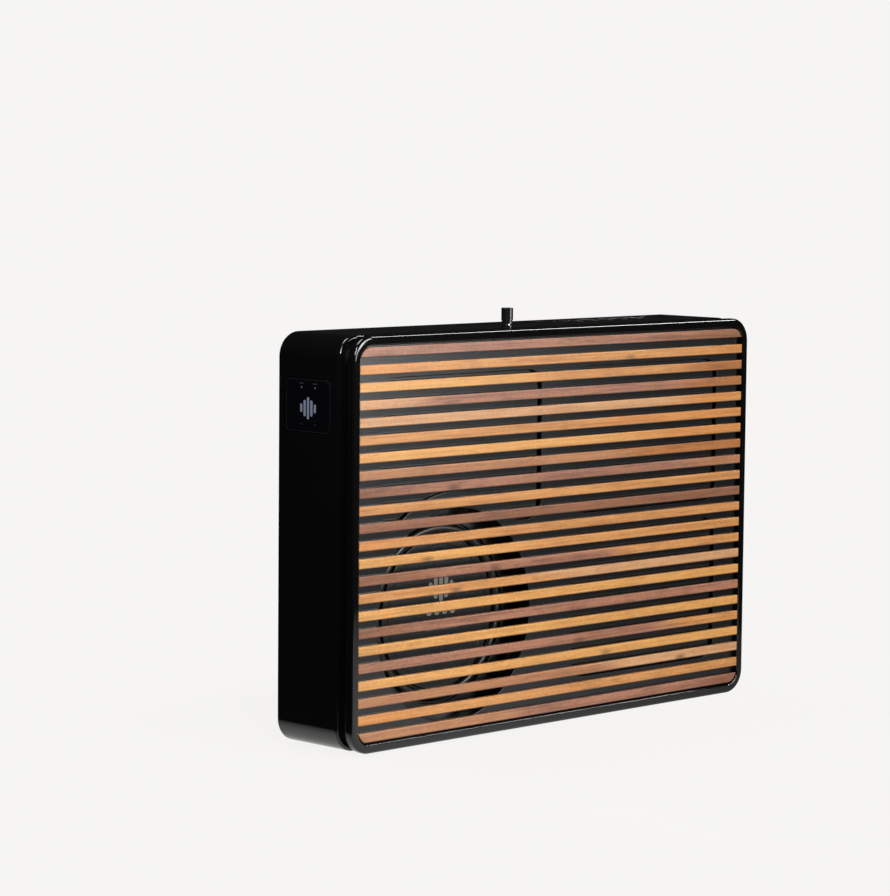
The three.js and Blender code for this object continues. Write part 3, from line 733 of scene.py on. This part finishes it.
baffleSizes = {  # mm
    "corner": 12.5, "windowCorner": 16, "ledge": 8, "edge": 0.45, "hole": 88, "rim": 14.5,
    "seatGap": 0.3, "radiatorEdge": 0.3,
}
windowNames = ("upper_left", "upper_right", "lower_right")
cornerPoints = 14
rowPoints = 48


# A recess's outline, lifted clear of the woofer's rim where it comes close to it.
def windowOutline(name):
    low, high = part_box("radiator_" + name)
    centreX = (low.x + high.x) / 2
    wide, top = high.x - low.x + 2 * fit, high.z + fit
    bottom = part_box("radiator_upper_right")[0].z - fit if name == "upper_left" else low.z - fit
    tall, level = top - bottom, (top + bottom) / 2

    def outline(inset):
        corner = baffleSizes["windowCorner"] * mm - inset
        rim = (baffleSizes["hole"] + baffleSizes["rim"]) * mm + inset
        points = rounded(wide - 2 * inset, tall - 2 * inset, corner, cornerPoints)
        across, lowerRight = wide / 2 - corner - inset, 3 * (cornerPoints + 1)
        points[lowerRight:lowerRight] = [
            (across * (2 * step / rowPoints - 1), inset - tall / 2) for step in range(1, rowPoints)]
        placed = []
        for x, z in shifted(points, centreX, level):
            reach = x - driverAxis.x
            if name == "upper_left" and z < level and abs(reach) < rim:
                z = max(z, driverAxis.z + math.sqrt(rim * rim - reach * reach))
            placed.append((x, z))
        return placed

    return outline


def makeBaffle():
    low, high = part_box("baffle")
    size = high - low
    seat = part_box("radiator_upper_left")[1].y + baffleSizes["seatGap"] * mm
    corner, ledge = baffleSizes["corner"] * mm - fit, baffleSizes["ledge"] * mm
    mouth = [(inset, low.y + rise) for inset, rise in eased(baffleSizes["edge"] * mm)]
    body = Body()

    def edgeLoops(outline, levels):
        return [body.loop(laid(outline(inset), "y", y, Vector())) for inset, y in levels]

    def outer(inset):
        return shifted(rounded(size.x - 2 * inset, size.z - 2 * inset, corner - inset, 16), 0, centreZ)

    def hole(inset):
        return shifted(circle(baffleSizes["hole"] * mm + inset, 160), driverAxis.x, driverAxis.z)

    # The straight outer wall is the far side of the shadow gap; its darker finish is painted shade for the
    # gap.
    outerLoops = edgeLoops(outer, mouth + [(0, high.y)])
    body.wall(outerLoops[:-1])
    body.wall(outerLoops[-2:], material=1)
    holeLoops = edgeLoops(hole, mouth + [(0, high.y)])
    body.wall(holeLoops)
    fronts, backs = [holeLoops[0]], [holeLoops[-1]]
    for name in windowNames:
        outline = windowOutline(name)
        levels = mouth + [(0, seat), (-ledge, seat), (-ledge, high.y)]
        loops = edgeLoops(lambda inset: outline(-inset), levels)
        body.wall(loops)
        fronts.append(loops[0])
        backs.append(loops[-1])
    body.cap(outerLoops[0], *fronts)
    body.cap(outerLoops[-1], *backs)
    made = body.piece("baffleBoard", "baffleGrey", extra=["channelBlack"])
    fasten(made, nodes=["baffle"])


def makeRadiators():
    for name in windowNames:
        low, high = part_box("radiator_" + name)
        outline = windowOutline(name)
        body = Body()
        slab(body, lambda inset: outline(inset + fit), "y", Vector((0, 0, 0)), low.y, high.y,
             baffleSizes["radiatorEdge"] * mm)
        made = body.piece("radiator" + name.title().replace("_", ""), "radiatorGrey")
        fasten(made, nodes=["radiator_" + name])


wooferSizes = {  # mm, radii but for the thicknesses
    "flange": 93, "flangeThickness": 3, "surround": 75.2, "gap": 0.3, "disc": 63.5, "discThickness": 2,
    "discEdge": 0.8, "neck": 20.3, "cone": 42.3, "spiderSeat": 40.3,
}

basketSizes = {  # mm, outwards from the surround, the spider's seat or the neck, and back from the front
    "edge": 0.5, "innerEdge": 0.4, "shoulder": 6, "shoulderEnd": 4, "shoulderDepth": 10, "lipDepth": 8,
    "leg": 8, "legDepth": 24, "foot": 4, "neckRoom": 6.9, "floor": 2.5,
    "ventHalf": 17, "ventInner": 32, "ventOuter": 92, "ventStart": 19.5, "ventEnd": 36.5,
}
ventCount = 6


def makeBasket():
    low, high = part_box("woofer_basket")
    front, back = low.y, high.y
    driver, size = metres(wooferSizes), metres(basketSizes)
    inside, neck = driver.surround + driver.gap, driver.neck + size.neckRoom
    seat, spiderBack = driver.spiderSeat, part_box("woofer_spider")[1].y + fit
    profile = [
        (inside, front + size.innerEdge), (inside + size.innerEdge, front),
        (driver.flange - size.edge, front), (driver.flange, front + size.edge),
        (driver.flange, front + driver.flangeThickness),
        (inside + size.shoulder, front + driver.flangeThickness),
        (inside + size.shoulderEnd, front + size.shoulderDepth),
        (seat + size.leg, front + size.legDepth), (seat + size.foot, back), (neck, back),
        (neck, back - size.floor), (seat, back - size.floor), (seat, spiderBack),
        (seat + size.foot, spiderBack), (inside, front + size.lipDepth),
    ]
    body = Body()
    turned(body, profile, "y", driverAxis, 144, closed=True)
    basket = body.piece("wooferBasket", "flangeBlack")
    corners = [(-size.ventHalf, size.ventInner), (size.ventHalf, size.ventInner),
               (size.ventHalf, size.ventOuter), (-size.ventHalf, size.ventOuter)]
    for vent in range(ventCount):
        cutter = Body()
        turn = Matrix.Rotation(math.radians(360 / ventCount * vent), 4, "Y")
        loops = [cutter.loop(turn @ point + driverAxis for point in laid(corners, "y", along, Vector()))
                 for along in (front + size.ventStart, front + size.ventEnd)]
        cutter.tube(loops)
        carve(basket, cutter.piece("cutter", "flangeBlack"))
    fasten(basket, nodes=["woofer_basket"])


# Lets a ring stretch between the fixed frame at its outer edge and the moving cone at its inner edge.
def hang(made, level, inner, outer, node):
    made.modifiers.clear()
    hub = driverAxis + Vector((0, level, 0))
    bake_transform(made, "cabinet", "woofer_cone", start=hub + Vector((0, 0, outer)), end=hub)
    weights = made.data.attributes["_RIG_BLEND"]
    for vertex, weight in zip(made.data.vertices, weights.data):
        reach = vertex.co - hub
        share = (outer - math.hypot(reach.x, reach.z)) / (outer - inner)
        share = min(max(share, 0), 1)
        weight.value = share * share * (3 - 2 * share)
    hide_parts(node)


surroundSizes = {"lip": 1, "thickness": 1, "backLift": 0.3}  # mm
rollHeight = 0.8


def makeSurround():
    driver, size = metres(wooferSizes), metres(surroundSizes)
    disc, outer = driver.disc + driver.gap, driver.surround
    roll, centre = (outer - disc) / 2 - size.lip, (outer + disc) / 2
    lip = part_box("woofer_surround")[1].y
    flat = lip - size.lip

    def crown(radius, level, steps):
        turns = (math.pi * step / 20 for step in steps)
        return [(centre - radius * math.cos(turn), level - rollHeight * radius * math.sin(turn))
                for turn in turns]

    front = crown(roll, flat, range(21))
    back = crown(roll - size.thickness, flat + size.backLift, range(20, -1, -1))
    profile = [(disc, flat), *front, (outer, flat), (outer, lip), *back, (disc, lip)]
    body = Body()
    turned(body, profile, "y", driverAxis, 144, closed=True)
    hang(body.piece("wooferSurround", "surroundRubber", 60), flat, disc, outer, "woofer_surround")


spiderSizes = {"half": 0.3}  # mm
spiderWaves = 5
spiderSteps = 90


def makeSpider():
    low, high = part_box("woofer_spider")
    driver, half = metres(wooferSizes), metres(spiderSizes).half
    inner, outer = driver.neck + driver.gap, driver.spiderSeat - driver.gap
    level, rise = (low.y + high.y) / 2, (high.y - low.y) / 2 - half
    shares = [step / spiderSteps for step in range(spiderSteps + 1)]
    line = [(inner + (outer - inner) * share, level + rise * math.cos(2 * math.pi * spiderWaves * share))
            for share in shares]
    profile = [(reach, y - half) for reach, y in line] + [(reach, y + half) for reach, y in reversed(line)]
    body = Body()
    turned(body, profile, "y", driverAxis, 96, closed=True)
    hang(body.piece("wooferSpider", "spiderCloth", 60), level, inner, outer, "woofer_spider")


# A small flat mark with round ends, printed on a face across the axis; the ink stands up by rise.
def mark(body, axis, centre, wide, high, face, rise):
    points = rounded(wide, high, min(wide, high) * 0.49, 5)
    body.tube([body.loop(laid(points, axis, along, onAxis(axis, centre))) for along in (face, face + rise)])


diaphragmSizes = {  # mm
    "hub": 0.5, "groove": 7, "grooveHalf": 0.5, "grooveFloor": 0.25, "grooveDepth": 0.35,
    "tubeWall": 2, "coneWall": 4, "skin": 1, "ink": 0.05,
}
# The mark on the disc, in mm: place across and up from the centre, width and height.
discMarks = [(4 + (place - 2) * 6, 20.5, 4.4, tall) for place, tall in enumerate((10, 18, 23, 18, 10))]
discMarks += [(4 + (place - 1.5) * 9, 0.4, 6, 5) for place in range(4)]
discMarks += [(5, -13.4, 38, 1.8)]


def makeDiaphragm():
    low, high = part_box("woofer_diaphragm")
    front, back = low.y, high.y
    driver, size = metres(wooferSizes), metres(diaphragmSizes)
    disc, behind = driver.disc, front + driver.discThickness
    groove = disc - size.groove
    profile = [(size.hub, front), (groove - size.grooveHalf, front)]
    profile += [(groove + side * size.grooveFloor, front + size.grooveDepth) for side in (-1, 1)]
    profile += [(groove + size.grooveHalf, front)]
    profile += [(disc - inset, front + rise) for inset, rise in eased(driver.discEdge)]
    profile += [
        (disc, behind), (driver.cone, behind), (driver.neck, back), (driver.neck - size.tubeWall, back),
        (driver.cone - size.coneWall, behind + size.skin), (size.hub, behind + size.skin),
    ]
    body = Body()
    turned(body, profile, "y", driverAxis, 144)
    fasten(body.piece("wooferDisc", "discGrey"), "woofer_cone", ["woofer_diaphragm"])
    marks = Body()
    for x, z, wide, tall in discMarks:
        spot = driverAxis + Vector((x * mm, 0, z * mm))
        mark(marks, "y", spot, wide * mm, tall * mm, front, -size.ink)
    fasten(marks.piece("discMarks", "discInk"), "woofer_cone")


stripSizes = {  # mm
    "corner": 4, "bush": 4.2, "hole": 3.6, "edge": 0.25,
    "markStart": 18, "markPitch": 19, "markShift": 1.6, "markWide": 5, "markHigh": 0.7, "ink": 0.05,
}


def makeStrip():
    low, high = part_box("control_strip")
    axle, centre, whole = middle("dial_shaft"), middle("control_strip"), span("control_strip")
    size = metres(stripSizes)
    body = Body()
    slab(
        body,
        lambda inset: rounded(whole.x - 2 * inset, whole.y - 2 * inset, size.corner - inset, 12),
        "z", onAxis("z", centre), high.z, low.z, size.edge,
        [lambda inset: shifted(circle(size.hole - inset, 48), axle.x - centre.x, axle.y - centre.y)])
    fasten(body.piece("controlStrip", "panelBlack"), nodes=["control_strip"])
    marks = Body()
    for place in range(5):
        for side in (-1, 1):
            spot = centre + Vector((size.markStart + place * size.markPitch, side * size.markShift, 0))
            mark(marks, "z", spot, size.markWide, size.markHigh, high.z, size.ink)
    fasten(marks.piece("stripMarks", "faintInk"))


dialSizes = {  # mm
    "hub": 0.3, "radius": 5, "edge": 0.5, "shaft": 3.06, "foot": 4.8, "footHeight": 2.4,
    "groove": 4.3, "grooveHeight": 0.6, "lowerEdge": 0.2, "rim": 1.4, "rimEnd": 1.8, "dish": 0.25,
}


def makeDial():
    low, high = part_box("volume_dial")
    size = metres(dialSizes)
    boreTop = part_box("dial_shaft")[1].z + fit
    step, floor = low.z + size.footHeight, high.z - size.dish
    shoulder = step + size.grooveHeight
    profile = [
        (size.hub, boreTop), (size.shaft, boreTop), (size.shaft, low.z), (size.foot, low.z),
        (size.foot, step), (size.groove, step), (size.groove, shoulder),
        (size.radius - size.lowerEdge, shoulder), (size.radius, shoulder + size.lowerEdge),
        *arc(size.radius - size.edge, high.z - size.edge, size.edge, 0, 90, 6),
        (size.radius - size.rim, high.z), (size.radius - size.rimEnd, floor), (size.hub, floor),
    ]
    body = Body()
    turned(body, profile, "z", onAxis("z", middle("volume_dial")), 64)
    fasten(body.piece("volumeDial", "dialBlack", 30), "dial", ["volume_dial"])


sidePlateSizes = {  # mm
    "corner": 5, "edge": 0.5, "sunk": 0.05, "ink": 0.04, "lineInset": 0.6, "lineEnd": 0.9,
    "light": 0.9, "lightGap": 0.15, "lensHub": 0.1, "lensRise": 0.1, "lensEdge": 0.3,
    "barPitch": 4, "barWide": 2.6, "barDrop": 2,
    "labelRise": 3.2, "labelWide": 4.6, "labelHigh": 0.8, "dotDrop": 15, "dotWide": 1.6, "dotHigh": 0.7,
}
barHeights = (7, 13, 18, 13, 7)  # mm


def makeSidePlate():
    low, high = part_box("side_plate")
    centre, whole = middle("side_plate"), span("side_plate")
    size = metres(sidePlateSizes)
    lights = [middle(f"status_light_{number}") for number in (1, 2)]
    lensHole = size.light + size.lightGap
    face = low.x + size.sunk
    upright = onAxis("x", centre)

    def outline(inset):
        return rounded(whole.y - 2 * inset, whole.z - 2 * inset, size.corner - inset, 12)

    def lightHole(light):
        right, up = light.y - centre.y, light.z - centre.z
        return lambda inset: shifted(circle(lensHole - inset * 0.3, 24), right, up)

    body = Body()
    slab(body, outline, "x", upright, face, high.x, size.edge, [lightHole(light) for light in lights])
    fasten(body.piece("sidePlate", "panelBlack"), nodes=["side_plate"])
    for number, light in enumerate(lights, 1):
        lens = Body()
        profile = [(size.lensHub, face), (size.light * 0.6, low.x + size.lensRise),
                   (size.light, low.x + size.lensEdge), (size.light, high.x)]
        turned(lens, profile, "x", onAxis("x", light), 24)
        fasten(lens.piece(f"statusLight{number}", "lightLens", 60), nodes=[f"status_light_{number}"])

    marks, faint, line = Body(), Body(), Body()
    for place, tall in enumerate(barHeights):
        spot = centre + Vector((0, (place - 2) * size.barPitch, -size.barDrop))
        mark(marks, "x", spot, size.barWide, tall * mm, face, -size.ink)
    for light in lights:
        label = light + Vector((0, 0, size.labelRise))
        mark(faint, "x", label, size.labelWide, size.labelHigh, face, -size.ink)
        dot = Vector((0, light.y, centre.z - size.dotDrop))
        mark(faint, "x", dot, size.dotWide, size.dotHigh, face, -size.ink)
    # Painted highlight: a light ink line just inside the plate's edge, standing in for light along its rim.
    near, far = ([line.loop(laid(outline(inset), "x", x, upright)) for x in (face, face - size.ink)]
                 for inset in (size.lineInset, size.lineEnd))
    line.wall([*near, *reversed(far)], closed=True)
    fasten(line.piece("plateEdgeHighlight", "lineInk"))
    fasten(marks.piece("plateMark", "plateInk"))
    fasten(faint.piece("plateLabels", "faintInk"))


screwSizes = {"radius": 3.1, "sunk": 0.1, "rim": 0.25, "crown": 0.4, "lip": 0.42, "recess": 0.05}  # mm
driveLobes = 6
lobeDepth = 0.13


# A domed screw head on a rear face, with a lobed drive.
def screw(body, x, z, face):
    size = metres(screwSizes)
    radius = size.radius
    profile = [(radius, -size.sunk), (radius, size.rim), (radius * 0.8, size.crown),
               (radius * 0.42, size.lip), (radius * 0.36, -size.recess)]
    loops = []
    for reach, rise in profile:
        points = circle(reach, 24)
        if reach < radius * 0.5:
            shares = [1 - lobeDepth * math.cos(driveLobes * math.atan2(v, u)) for u, v in points]
            points = [(u * share, v * share) for (u, v), share in zip(points, shares)]
        loops.append(body.loop(laid(points, "y", face + rise, Vector((x, 0, z)))))
    body.tube(loops)


rearSizes = {  # mm
    "edge": 0.4, "bayCorner": 4, "overlap": 8, "screwMargin": 9, "plateScrew": 5,
    "plateEdge": 0.15, "holeCorner": 0.5, "inletWide": 26, "inletHigh": 17,
    "rockerWide": 14.6, "rockerHigh": 20.6, "buttonHole": 3.3, "socketHole": 4.4,
}


def makeRear():
    low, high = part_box("rear_panel")
    centre, whole = middle("rear_panel"), span("rear_panel")
    plate, plateSpan = middle("connector_plate"), span("connector_plate")
    plateLow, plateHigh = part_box("connector_plate")
    size = metres(rearSizes)
    bayWide, bayHigh = plateSpan.x - 2 * size.overlap, plateSpan.z - 2 * size.overlap
    corner = baffleSizes["corner"] * mm - fit

    def bay(inset):
        points = rounded(bayWide - 2 * inset, bayHigh - 2 * inset, size.bayCorner - inset, 8)
        return shifted(points, plate.x, plate.z - centre.z)

    body = Body()
    slab(body, lambda inset: rounded(whole.x - 2 * inset, whole.z - 2 * inset, corner - inset, 16),
         "y", Vector((0, 0, centre.z)), high.y, low.y, size.edge, [bay])
    fasten(body.piece("rearPanel", "mattBlack"), nodes=["rear_panel"])

    screws = Body()
    halfWide, halfHigh = whole.x / 2 - size.screwMargin, whole.z / 2 - size.screwMargin
    spots = [(share * halfWide * 0.99, side * halfHigh)
             for share in (-1, -0.5, 0, 0.5, 1) for side in (-1, 1)]
    spots += [(side * halfWide, share * halfHigh) for share in (-0.36, 0.36) for side in (-1, 1)]
    for x, z in spots:
        screw(screws, x, centre.z + z, high.y)
    for sideX in (-1, 1):
        for sideZ in (-1, 1):
            screw(screws, plate.x + sideX * (bayWide / 2 - size.plateScrew),
                  plate.z + sideZ * (bayHigh / 2 - size.plateScrew), plateHigh.y)
    fasten(screws.piece("rearScrews", "steel"))

    def boxHole(node, wide, tall):
        return lambda inset: shifted(rounded(wide - 2 * inset, tall - 2 * inset, size.holeCorner, 3),
                                     middle(node).x - plate.x, 0)

    def roundHole(x, radius):
        return lambda inset: shifted(circle(radius - inset, 32), x - plate.x, 0)

    holes = [boxHole("mains_inlet", size.inletWide, size.inletHigh),
             boxHole("power_rocker", size.rockerWide, size.rockerHigh),
             roundHole(middle("pair_button").x, size.buttonHole)]
    holes += [roundHole(spot.x, size.socketHole) for spot in socketSpots]
    body = Body()
    slab(body,
         lambda inset: rounded(plateSpan.x - 2 * inset, plateSpan.z - 2 * inset, size.bayCorner - inset, 8),
         "y", onAxis("y", plate), plateHigh.y, plateLow.y, size.plateEdge, holes)
    fasten(body.piece("connectorPlate", "plasticBlack"), nodes=["connector_plate"])


inletSizes = {  # mm, depths from the front of the flange
    "edge": 0.5, "frontCorner": 2.6, "corner": 3, "bodyWide": 25.4, "bodyHigh": 16.4, "bodyCorner": 0.6,
    "mouthWide": 18, "mouthHigh": 9.5, "mouthCorner": 4.55, "mouthEdge": 0.4, "mouthDepth": 11,
    "pinHub": 0.4, "pinNose": 1.1, "pin": 1.2, "pinOffset": 4.3,
    "pinTip": 2.2, "pinEase": 2.6, "pinStart": 3, "pinEnd": 11.5,
}


def makeInlet():
    low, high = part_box("mains_inlet")
    centre, whole = middle("mains_inlet"), span("mains_inlet")
    size = metres(inletSizes)
    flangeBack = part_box("connector_plate")[1].y + fit
    upright = onAxis("y", centre)
    levels = [(whole.x - 2 * size.edge, whole.z - 2 * size.edge, size.frontCorner, high.y)]
    levels += [(whole.x, whole.z, size.corner, y) for y in (high.y - size.edge, flangeBack)]
    levels += [(size.bodyWide, size.bodyHigh, size.bodyCorner, y) for y in (flangeBack, low.y)]
    mouthLevels = [
        (size.mouthWide + 2 * grow, size.mouthHigh + 2 * grow, size.mouthCorner + grow, high.y - depth)
        for grow, depth in ((size.mouthEdge, 0), (0, size.mouthEdge), (0, size.mouthDepth))]
    body = Body()
    outer, mouth = ([body.loop(laid(rounded(wide, tall, corner, 8), "y", y, upright))
                     for wide, tall, corner, y in rows] for rows in (levels, mouthLevels))
    body.wall(outer)
    body.wall(mouth)
    body.cap(outer[0], mouth[0])
    body.cap(mouth[-1])
    body.cap(outer[-1])
    fasten(body.piece("mainsInlet", "plasticBlack"), nodes=["mains_inlet"])
    pins = Body()
    profile = [(size.pinHub, high.y - size.pinTip), (size.pinNose, high.y - size.pinEase),
               (size.pin, high.y - size.pinStart), (size.pin, high.y - size.pinEnd)]
    for side in (-1, 1):
        turned(pins, profile, "y", upright + Vector((side * size.pinOffset, 0, 0)), 20)
    fasten(pins.piece("inletPins", "zinc"))


rockerSizes = {  # mm
    "tall": 19, "depth": 10, "foot": 3, "skirt": 3, "skirtInset": 0.6, "tip": 2.2, "tipEase": 0.4,
    "ease": 0.35, "dip": 0.6, "edge": 0.3, "inkSunk": 0.1, "inkRise": 0.22,
}
rockerMarks = ((1, 0.6, 2.6), (-1, 2.4, 2.4))  # the side it is on, width and height in mm
markPlace = 0.55
restTilt = 8


def makeRocker():
    pivot = Vector((middle("power_rocker").x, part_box("connector_plate")[1].y, middle("connector_plate").z))
    wide = span("power_rocker").x
    size = metres(rockerSizes)
    half, tip = size.tall / 2, size.tip
    tilt = Matrix.Rotation(math.radians(restTilt), 4, "X")

    def face(share):
        return size.dip + (tip - size.dip) * abs(share) ** 1.5

    upper = [(face(share), share * (half - size.ease)) for share in (0.15, 0.35, 0.6, 0.85)]
    upper += [(tip, half - size.ease), (tip - size.tipEase, half), (-size.skirt, half - size.skirtInset)]
    upper += [(-size.depth, size.foot)]
    section = [(y, -z) for y, z in reversed(upper)] + [(face(0), 0)] + upper
    body = Body()
    loops = []
    for inset, x in easedLevels(-wide / 2, wide / 2, size.edge, 2):
        shrunk = [(y * (1 - inset / size.depth), z * (1 - 2 * inset / size.tall)) for y, z in section]
        loops.append(body.loop(tilt @ Vector((x, y, z)) + pivot for y, z in shrunk))
    body.tube(loops)
    fasten(body.piece("powerRocker", "plasticBlack", 25), "rocker", ["power_rocker"])
    marks = Body()
    for side, markWide, markTall in rockerMarks:
        points = rounded(markWide * mm, markTall * mm, min(markWide, markTall) / 2 * 0.98 * mm, 6)
        marks.tube([
            marks.loop(tilt @ Vector((u, face(markPlace) + lift, v + side * markPlace * half)) + pivot
                       for u, v in points)
            for lift in (-size.inkSunk, size.inkRise)])
    fasten(marks.piece("rockerMarks", "socketWhite"), "rocker")


socketSizes = {  # mm
    "pitch": 16, "corner": 0.8, "barrel": 4.1, "lip": 0.3, "bore": 1.8, "mouth": 0.4, "boreDepth": 6,
    "ringGap": 0.12, "ring": 1.9, "ringTop": 1.6, "ringBack": 0.1, "ringEdge": 1.1, "ringFront": 1.4,
}
socketFinishes = ("socketRed", "socketWhite", "socketBlack")
socketSpots = [onAxis("y", middle("socket_block")) + Vector((place * socketSizes["pitch"] * mm, 0, 0))
               for place in (-1, 0, 1)]


def makeSockets():
    low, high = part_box("socket_block")
    whole, size = span("socket_block"), metres(socketSizes)
    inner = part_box("connector_plate")[0].y - fit
    barrel, bore = size.barrel, size.bore
    body = Body()
    outer = [body.loop(laid(rounded(whole.x, whole.z, size.corner, 4), "y", y, socketSpots[1]))
             for y in (inner, low.y)]
    body.wall(outer)
    feet = []
    profile = [(barrel, inner), (barrel, high.y - size.lip), (barrel - size.lip, high.y),
               (bore + size.mouth, high.y), (bore, high.y - size.mouth), (bore, inner - size.boreDepth)]
    for spot in socketSpots:
        loops = [body.loop(laid(circle(radius, 40), "y", y, spot)) for radius, y in profile]
        body.wall(loops)
        body.cap(loops[-1])
        feet.append(loops[0])
    body.cap(outer[0], *feet)
    body.cap(outer[1])
    fasten(body.piece("socketBlock", "gold"), nodes=["socket_block"])
    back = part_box("connector_plate")[1].y
    profile = [(barrel + size.ringGap, back + size.ringBack), (barrel + size.ring, back + size.ringBack),
               (barrel + size.ring, back + size.ringEdge), (barrel + size.ringTop, back + size.ringFront),
               (barrel + size.ringGap, back + size.ringFront)]
    for number, (spot, finish) in enumerate(zip(socketSpots, socketFinishes), 1):
        ring = Body()
        turned(ring, profile, "y", spot, 40, closed=True)
        fasten(ring.piece(f"socketRing{number}", finish))


buttonSizes = {  # mm
    "hub": 0.4, "radius": 3, "edge": 0.3, "dish": 0.3, "dishEdge": 1, "dishRise": 0.2, "rim": 0.6,
}


def makeButton():
    low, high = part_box("pair_button")
    size = metres(buttonSizes)
    profile = [(size.hub, high.y - size.dish), (size.radius - size.dishEdge, high.y - size.dishRise),
               (size.radius - size.rim, high.y), (size.radius - size.edge, high.y),
               (size.radius, high.y - size.edge), (size.radius, low.y)]
    body = Body()
    turned(body, profile, "y", onAxis("y", middle("pair_button")), 32)
    fasten(body.piece("pairButton", "plasticBlack"), "pairing", ["pair_button"])


footSizes = {"hub": 0.5, "lowEdge": 0.3, "topEdge": 0.2}  # mm


def makeFeet():
    size = metres(footSizes)
    for name in ("front_left", "front_right", "back_left", "back_right"):
        node = "foot_" + name
        low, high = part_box(node)
        radius = span(node).x / 2
        profile = [(size.hub, low.z), (radius - size.lowEdge, low.z), (radius, low.z + size.lowEdge),
                   (radius, high.z - size.topEdge), (radius - size.topEdge, high.z), (size.hub, high.z)]
        body = Body()
        turned(body, profile, "z", onAxis("z", middle(node)), 48)
        made = body.piece("foot" + name.title().replace("_", ""), "footRubber")
        fasten(made, nodes=[node])


makeCabinet()
makeFrontFrame()
print("cabinet and frame made")
makeSlats()
print("slats made")
makeBaffle()
makeRadiators()
makeBasket()
makeSurround()
makeSpider()
makeDiaphragm()
print("baffle and drivers made")
makeStrip()
makeDial()
makeSidePlate()
print("controls made")
makeRear()
makeInlet()
makeRocker()
makeSockets()
makeButton()
makeFeet()
print("rear and feet made")

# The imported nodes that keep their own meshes, and their finishes.
boardThickness = 1.6 * mm
boards = ("amplifier_board", "power_supply")
carriedOver = {
    "woofer_coil": "copper",
    "woofer_magnet": "ferrite",
    "dial_shaft": "zinc",
    "encoder_rotor": "zinc",
    "encoder_body": "plasticBlack",
    "heat_sink": "aluminium",
    "damping_pad": "foam",
}
carriedOver.update({"exciter_" + name: "ferrite" for name in windowNames})
for node in boards:
    finishes[node] = circuitBoard(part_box(node)[1].y - boardThickness)
    carriedOver[node] = node
for node, finish in carriedOver.items():
    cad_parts[node].material_slots[0].material = finishes[finish]
print("inner nodes finished:", len(carriedOver))

# Floor, background and lights.
studio = {
    "floorCentre": (0.02, -0.22),
    "floorRadius": 0.5,
    "floorFade": 0.05,
    "floorLeft": -0.3,
    "floorDrop": 0.0003,
    "fadeStart": -0.1,
    "fadeReach": 0.45,
    "fadeDepth": 0.74,
    "backdrop": srgb(246, 245, 243),
    "surroundings": (0.012, 0.012, 0.0126),
    "floorGlow": 0.955,
}


def makeFloor():
    body = Body()
    radius = studio["floorRadius"] + studio["floorFade"]
    centre = Vector((*studio["floorCentre"], -studio["floorDrop"]))
    body.cap(body.loop(laid(circle(radius, 96), "z", 0, centre)))
    floor = Finish("floorPaper", {"Roughness": 1, "Specular IOR Level": 0})
    spot = floor.place((1, 1, 0), tuple(-centre))
    reach = floor.node("VectorMath", {"operation": "LENGTH"}, {0: spot})["Value"]
    edge = 1 - reach.above(studio["floorRadius"] - studio["floorFade"], 2 * studio["floorFade"])
    across = floor.node("SeparateXYZ", {}, {"Vector": floor.place()})["X"]
    fadeRight = 1 - across.above(studio["fadeStart"], studio["fadeReach"]) * studio["fadeDepth"]
    kept = edge * fadeRight * across.above(studio["floorLeft"], studio["floorFade"])
    mottle = floor.noise(20, 2)
    floor.set({
        "Base Color": floor.mix(mottle, (0.03, 0.03, 0.0295), (0.034, 0.034, 0.0335)),
        "Emission Color": studio["backdrop"],
        "Emission Strength": studio["floorGlow"],
        "Alpha": kept,
    })
    floor.material.surface_render_method = "BLENDED"
    body.piece("floor", "floorPaper")


def makeWorld():
    world = bpy.data.worlds.new("studio")
    world.use_nodes = True
    scene.world = world
    world.node_tree.nodes.clear()
    graph = Graph(world.node_tree)
    seen, felt = (graph.node("Background", {}, {"Color": studio[key]})
                  for key in ("backdrop", "surroundings"))
    toCamera = graph.node("LightPath", {}, {})["Is Camera Ray"]
    choice = graph.node("MixShader", {}, {0: toCamera, 1: felt, 2: seen})
    graph.node("OutputWorld", {}, {"Surface": choice})


# Soft boxes: azimuth and elevation in degrees (azimuth 0 in front, 90 to the right), distance and
# size in metres, power in watts.
softboxes = {
    "key": (29.7, 11.7, 3.6, (1.3, 1.6), 105),
    "left": (-50, 35, 0.9, (0.03, 0.3), 5),
    "overhead": (62, 38, 1.8, (0.08, 0.9), 13),
    "rear": (200, 64, 2.2, (1.0, 0.8), 26),
}


def makeLights():
    target = Vector((0, 0, centreZ))
    for name, (azimuth, elevation, distance, size, power) in softboxes.items():
        data = bpy.data.lights.new(name, "AREA")
        data.shape = "RECTANGLE"
        data.size, data.size_y = size
        data.energy = power
        turn, rise = math.radians(azimuth), math.radians(elevation)
        way = Vector((math.sin(turn) * math.cos(rise), -math.cos(turn) * math.cos(rise), math.sin(rise)))
        lamp = bpy.data.objects.new(name, data)
        lamp.location = target + way * distance
        lamp.rotation_mode = "QUATERNION"
        lamp.rotation_quaternion = (-way).to_track_quat("-Z", "Y")
        scene.collection.objects.link(lamp)


makeFloor()
makeWorld()
makeLights()
scene.view_settings.view_transform = "Standard"
print("studio made")
